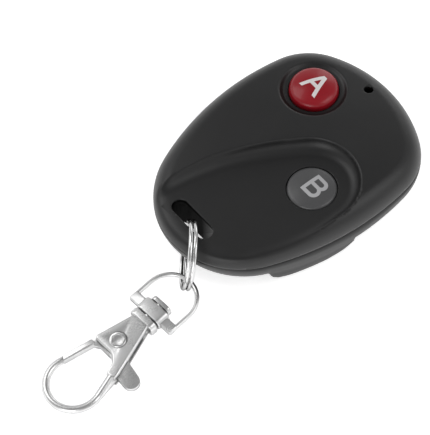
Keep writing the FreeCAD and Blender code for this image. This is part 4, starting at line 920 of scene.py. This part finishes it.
def cap_section(top, dome_radius, bend, flange_base):
    """Radius and height of a cap's half-section, from the middle of its top round to its boss.

    The dome is a parabola, its height the top less the square of the radius over twice the
    bend. The shoulder is an arc tangent to the dome's end and to the upright skirt.
    """
    radius = np.linspace(0, dome_radius, DOME_POINTS)
    dome = np.stack([radius, top - radius ** 2 / (2 * bend)], -1)
    lean = math.atan(dome_radius / bend)
    shoulder = (CAP_RADIUS - dome_radius) / (1 - math.sin(lean))
    ceiling = top - CAP_WALL
    turn = np.linspace(lean, math.pi / 2, SHOULDER_POINTS)[1:]
    arc = np.stack([CAP_RADIUS - shoulder + shoulder * np.sin(turn),
                    dome[-1, 1] + shoulder * (np.cos(turn) - math.cos(lean))], -1)
    flange_top = flange_base + FLANGE_THICKNESS
    rest = [(CAP_RADIUS, flange_top), (FLANGE_RADIUS, flange_top), (FLANGE_RADIUS, flange_base),
            (SKIRT_BORE, flange_base), (SKIRT_BORE, ceiling), (BOSS_RADIUS, ceiling),
            (BOSS_RADIUS, BOSS_BASE), (0, BOSS_BASE)]
    return np.concatenate([dome, arc, rest])


print("a section has", len(cap_section(14.8, 4.2, 12.0, 10.35)), "points")

# %% Turn a section round its axis
CAP_SIDES = 120


def turned(name, section, place, sides=CAP_SIDES):
    """Solid of revolution: each point of the section goes round an upright axis."""
    angle = np.linspace(0, math.tau, sides, endpoint=False)
    ring = section[1:-1]
    around = np.stack([place[0] + ring[:, :1] * np.cos(angle),
                       place[1] + ring[:, :1] * np.sin(angle),
                       np.repeat(ring[:, 1:], sides, 1)], -1).reshape(-1, 3)
    ends = np.array([(*place, section[0, 1]), (*place, section[-1, 1])])
    count = len(around)
    walls = strip_faces(len(ring), sides)[:, ::-1]
    top_fan = fan_faces(0, sides, count)
    base_fan = fan_faces(count - sides, sides, count + 1)[:, ::-1]
    mesh = bpy.data.meshes.new(name)
    mesh.from_pydata((np.concatenate([around, ends]) * MM).tolist(), [],
                     walls.tolist() + top_fan.tolist() + base_fan.tolist())
    shade_smooth(mesh, SHARP_ANGLE)
    return add_object(name, mesh)


print("each point is turned in", CAP_SIDES, "steps of", 360 / CAP_SIDES, "degrees")

# %% [markdown]
# ## Letters let into the caps
# The real letters look like a second plastic, flush with the cap. The packed letters follow
# the crown of the packed caps, so copies of them are only moved: each point goes up or down by
# the difference between the old crown and the new one at its distance from the axis.

# %% Move the letters, and set them in their caps
OLD_CROWN = 29.0
INLAY_REACH = 0.12
INLAY_PROUD = 0.02


def inlay(name, source, place, old_top, new_top, bend):
    """Letter whose points move with the crown that it is let into.

    Its top lies a hair proud of the new dome, and its foot keeps its depth under it.
    """
    piece = welded_copy(name, source)
    work = bmesh.new()
    work.from_mesh(piece.data)
    bmesh.ops.triangulate(work, faces=work.faces)
    bmesh.ops.subdivide_edges(work, edges=work.edges, cuts=2, use_grid_fill=True)
    for vertex in work.verts:
        away = math.hypot(vertex.co.x / MM - place[0], vertex.co.y / MM - place[1])
        old = old_top - away ** 2 / (2 * OLD_CROWN)
        new = new_top - away ** 2 / (2 * bend)
        height = vertex.co.z / MM
        proud = height > old - INLAY_REACH
        vertex.co.z = (new + INLAY_PROUD if proud else height + new - old) * MM
    work.to_mesh(piece.data)
    work.free()
    shade_smooth(piece.data, SHARP_ANGLE)
    return piece


for cap_name, letter_name, node, letter_node, place, flange, old_top, drop, radius, bend in CAPS:
    new_top = old_top - drop
    cap = turned(cap_name, cap_section(new_top, radius, bend, flange), place)
    letter = inlay(letter_name, letter_node, place, old_top, new_top, bend)
    for piece, solid in ((cap, node), (letter, letter_node)):
        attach(piece, node)
        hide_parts(solid)
        print(piece.name, len(piece.data.polygons), "faces")

# %% [markdown]
# ## Moulded plastic
# The shell is black ABS with a very fine sparked grain, so its highlights are broad and soft.
# The grain is a bump of about 0.01 mm, and a slower cloud varies how rough it is, as handled
# plastic is never equally dull. Noise on Object coordinates gives both without any image.

# %% Finish the shell
CLOUD_GRAIN = 9 * MM
DUST_GRAIN = 0.6 * MM
SPARK_GRAIN = 0.16 * MM


def moulded_plastic(name, colour, gloss, grain_depth, **constants):
    """Dyed plastic: a slow cloud shifts its colour and dullness, a fine one is its grain."""
    finish = Finish(name, **constants)
    here = finish.place()
    cloud = finish.noise(here, CLOUD_GRAIN, 3.0)
    dust = finish.noise(here, DUST_GRAIN, 4.0, 0.65)
    fine = finish.noise(here, SPARK_GRAIN, 2.0, 0.6)
    mottle = cloud * 0.6 + dust * 0.4
    return finish.feed(Base_Color=finish.tint(mottle, rgba(colour, 0.82), rgba(colour, 1.18)),
                       Roughness=gloss + (mottle - 0.5) * 0.12,
                       Normal=finish.bump(fine, grain_depth))


shell_plastic = moulded_plastic("shell_plastic", (0.0055, 0.0055, 0.0058), 0.42, 0.012 * MM,
                                IOR=1.5)
paint(shell_plastic, "top_half", "bottom_half")
print("shell finished with", len(shell_plastic.tree.nodes), "nodes")

# %% [markdown]
# ## The dark slot
# In the photograph the slot behind the ring is nearly black, darkest on the side away from the
# camera. A deeper hole would need a different shell, so that shade is painted: the same plastic
# is mixed with a matt black there. The mask is a product of fades, which keeps the rim of the
# slot as it is.

# %% Paint shade into the slot
SLOT_ALONG = -23.3 * MM
SLOT_MIDDLE = -0.5 * MM
SLOT_START = -6.2 * MM
# the matt black that is mixed in as painted shade
SLOT_SHADE_BLACK = (0.002, 0.002, 0.002)
# where each fade starts and ends: beside the slot, past its ends, upwards, and along it
SLOT_BESIDE = (2.72 * MM, 2.88 * MM)
SLOT_ASTRIDE = (6.4 * MM, 6.8 * MM)
SLOT_RISE = (10.64 * MM, 11.2 * MM)
SLOT_PALING = (5.7 * MM, 9.69 * MM)


def paint_slot_shade(finish):
    """Mix matt black into the plastic in the slot as painted shade, most at its far end.

    The mask is the product of four fades: beside the slot's middle line, past its ends,
    upwards to just under the scoop's floor, and from its far end to its near one.
    """
    here = finish.place()
    east, north, rise = (finish.axis(here, number) for number in range(3))
    # mask of the painted shade in the slot
    mask = (finish.fade(abs(north - SLOT_ALONG), *SLOT_BESIDE)
            * finish.fade(abs(east - SLOT_MIDDLE), *SLOT_ASTRIDE)
            * finish.fade(rise, *SLOT_RISE)
            * finish.fade(east - SLOT_START, *SLOT_PALING, 0.92, 0.25))
    black = finish.node("ShaderNodeBsdfDiffuse", {}, {"Color": rgba(SLOT_SHADE_BLACK)})
    plastic = Signal(finish, finish.shader.outputs[0])
    mixed = finish.node("ShaderNodeMixShader", {}, {0: mask, 1: plastic, 2: black})
    finish.plug(finish.tree.nodes["Material Output"].inputs["Surface"], mixed)


paint_slot_shade(shell_plastic)
print("with the slot's black", len(shell_plastic.tree.nodes), "nodes")

# %% [markdown]
# ## Caps and letters
# The caps are glossier than the shell and have a thin clear skin, so a small sharp highlight
# sits on their shoulder. The letters are the same kind of plastic, nearly white and pale grey.
# One function makes all four, because only colour, gloss and grain differ.

# %% Finish the caps and their letters
paint(moulded_plastic("red_plastic", (0.27, 0.003, 0.010), 0.30, 0.003 * MM, Coat_Weight=0.15,
                      Coat_Roughness=0.1, Specular_IOR_Level=0.35), "red_cap")
paint(moulded_plastic("grey_plastic", (0.070, 0.070, 0.072), 0.36, 0.006 * MM,
                      Coat_Weight=0.1, Coat_Roughness=0.2), "grey_cap")
paint(moulded_plastic("white_inlay", (0.72, 0.68, 0.68), 0.38, 0.003 * MM), "letter_a")
paint(moulded_plastic("pale_inlay", (0.42, 0.42, 0.43), 0.40, 0.003 * MM), "letter_b")
print("caps and letters finished")

# %% [markdown]
# ## Plated metal
# The clasp is zinc, tumbled and nickel-plated: bright, with a slight haze, shallow dents and
# fine scratches along its length. The ring is drawn spring wire, and glossier. Both are the same
# function with other numbers. A dark tint at grazing angles draws the edges of the bright wire
# against the white table. A thin dark ring round the rivet is painted shade, standing for the
# shadow in the gap under its head.

# %% Metal with clouds and streaks
EDGE_TINT = (0.25, 0.25, 0.25, 1)
# colour of the painted shade in the gap round the rivet
RIVET_GAP_SHADE = (0.10, 0.10, 0.10, 1)
TUMBLED_GRAIN = 3.5 * MM
SCRATCH_GRAIN = 0.35 * MM
PIT_GRAIN = 0.25 * MM


def plated_metal(name, colour, gloss, dent_depth, streak=(1, 1, 1), shade_ring=None):
    """Metal with stretched noise as polishing streaks and slow noise as its tumbled surface.

    The last argument is the x, y and radius in mm of a dark ring of painted shade round a rivet.
    """
    finish = Finish(name, Metallic=1.0, Specular_Tint=EDGE_TINT)
    here = finish.place()
    along = finish.place(stretch=streak)
    cloud = finish.noise(here, TUMBLED_GRAIN, 3.0)
    lines = finish.noise(along, SCRATCH_GRAIN, 5.0, 0.7)
    pits = finish.noise(here, PIT_GRAIN, 3.0, 0.6)
    dull = finish.ramp(cloud * 0.7 + lines * 0.3, [(0.35, 0.0), (0.7, 1.0)])
    shade = finish.tint(dull, rgba(colour), rgba(colour, 0.86))
    # a dark ring round the rivet is painted shade of the gap under its head
    if shade_ring:
        shade = finish.tint(ring_mask(finish, here, *shade_ring), shade, RIVET_GAP_SHADE)
    relief = cloud * 0.6 + pits * 0.25 + lines * 0.15
    return finish.feed(Base_Color=shade, Roughness=gloss + dull * 0.10 + (lines - 0.5) * 0.08,
                       Normal=finish.bump(relief, dent_depth))


def ring_mask(finish, here, x, y, radius):
    """1 on a thin upright tube round a point of the plan, 0 away from it."""
    east = finish.axis(here, 0) - x * MM
    north = finish.axis(here, 1) - y * MM
    off = ((east * east + north * north) ** 0.5 - radius * MM) / MM
    return finish.ramp(off * off, [(0.0, 1.0), (0.012, 0.8), (0.05, 0.0)])


# the ring given last is painted shade round the rivet
nickel = plated_metal("satin_nickel", (0.76, 0.76, 0.76), 0.24, 0.008 * MM, (3, 0.35, 3),
                      shade_ring=(8.62, -49.93, 1.66))
print("nickel of", len(nickel.tree.nodes), "nodes")

# %% Plate the clasp, the ring and the contacts
bright_nickel = plated_metal("bright_nickel", (0.74, 0.74, 0.74), 0.16, 0.006 * MM, (3, 0.5, 3))
spring_steel = plated_metal("spring_steel", (0.74, 0.74, 0.74), 0.12, 0.004 * MM, (1, 1, 0.3))
dark_steel = plated_metal("dark_steel", (0.20, 0.20, 0.21), 0.32, 0.02 * MM)
tin_plate = plated_metal("tin_plate", (0.70, 0.69, 0.66), 0.26, 0.02 * MM)
paint(nickel, "cheeks_and_hook", "loop_and_hub", "gate_and_tab")
paint(bright_nickel, "mushroom_pin", "ringed_rivet")
paint(spring_steel, "wound_ring", "gate_spring", "battery_spring")
paint(dark_steel, "case_screws")
paint(tin_plate, "contact_plus", "contact_minus", "battery_can", "battery_cap",
      "switch_a_cover", "switch_b_cover", "resonator")
print("metal finished")

# %% [markdown]
# ## What is inside
# The board and its components show only when the shell is taken apart. Each has the finish
# that such a piece has: green mask with copper lines under it, black moulded chips, a red
# lens, tan ceramic, grey ferrite and the plain film of the cell. They are the packed solids
# themselves, because their plain shapes are right and only their finish is missing.

# %% Board, lens and film
TRACK_PITCH = 1.27 * MM
TRACK_WANDER = 4 * MM
CELL_LENGTH = 28 * MM


def solder_mask(name):
    """Green lacquer: copper lines on a 1.27 mm raster under it show paler and stand proud."""
    finish = Finish(name, Coat_Weight=0.5, Coat_Roughness=0.15)
    here = finish.place()
    wander = finish.noise(here, 5 * MM, 1.0)
    bent = finish.axis(here, 0) + wander * TRACK_WANDER
    rows = (bent * (math.tau / TRACK_PITCH)).sine()
    columns = (finish.axis(here, 1) * (math.tau / (3 * TRACK_PITCH))).sine()
    copper = finish.ramp(rows * 0.5 + columns * 0.25 + 0.25, [(0.62, 0.0), (0.68, 1.0)])
    green = finish.tint(copper, rgba((0.008, 0.075, 0.028)), rgba((0.03, 0.20, 0.07)))
    return finish.feed(Base_Color=green, Roughness=0.34 + wander * 0.1,
                       Normal=finish.bump(copper, 0.03 * MM))


def clear_lens(name, colour):
    """Tinted lens resin with a faint cloud."""
    finish = Finish(name, Coat_Weight=1.0, Coat_Roughness=0.03)
    cloud = finish.noise(finish.place(), 1.2 * MM, 2.0)
    return finish.feed(Base_Color=finish.tint(cloud, rgba(colour), rgba(colour, 0.7)),
                       Roughness=0.12 + cloud * 0.08)


def cell_film(name):
    """Plain film round the cell: dark blue, with a pale grey band at the nipple's end."""
    finish = Finish(name, Coat_Weight=0.7, Coat_Roughness=0.1)
    here = finish.place()
    cloud = finish.noise(here, 2 * MM, 2.0)
    band = finish.ramp(finish.axis(here, 0) / CELL_LENGTH + 0.5, [(0.78, 0.0), (0.79, 1.0)])
    film = finish.tint(band, rgba((0.03, 0.045, 0.16)), rgba((0.42, 0.43, 0.45)))
    return finish.feed(Base_Color=film, Roughness=0.28 + cloud * 0.08)


paint(solder_mask("board_green"), "circuit_board")
paint(clear_lens("lamp_red", (0.55, 0.02, 0.02)), "indicator_led")
paint(cell_film("cell_film"), "battery_sleeve")
print("board, lens and film finished")

# %% Finish the other inner pieces
INNER_PLASTICS = [
    # finish, colour, roughness, depth of the grain in mm, solids
    ("chip_black", (0.020, 0.020, 0.022), 0.55, 0.010, ["encoder_chip", "transistor"]),
    ("switch_black", (0.028, 0.028, 0.030), 0.45, 0.006, ["switch_a_base", "switch_b_base"]),
    ("stem_plastic", (0.70, 0.66, 0.60), 0.40, 0.004, ["switch_a_stem", "switch_b_stem"]),
    ("resistor_black", (0.030, 0.028, 0.030), 0.30, 0.004, ["chip_resistors"]),
    ("ceramic_tan", (0.44, 0.30, 0.17), 0.42, 0.006, ["chip_capacitors"]),
    ("ferrite_grey", (0.11, 0.11, 0.12), 0.62, 0.015, ["choke_coil"]),
]
for name, colour, gloss, depth, names in INNER_PLASTICS:
    paint(moulded_plastic(name, colour, gloss, depth * MM), *names)
print("bare solids:", [name for name, solid in solids.items() if not solid.data.materials])

# %% [markdown]
# ## Slots of the finishes
# The packed part names the slot of every solid's finish. A new piece has no slot of its own.

# %% [markdown]
# ## The box round the part
# The dressed part has to stay in the box of the solids, or it wouldn't fit where they do.
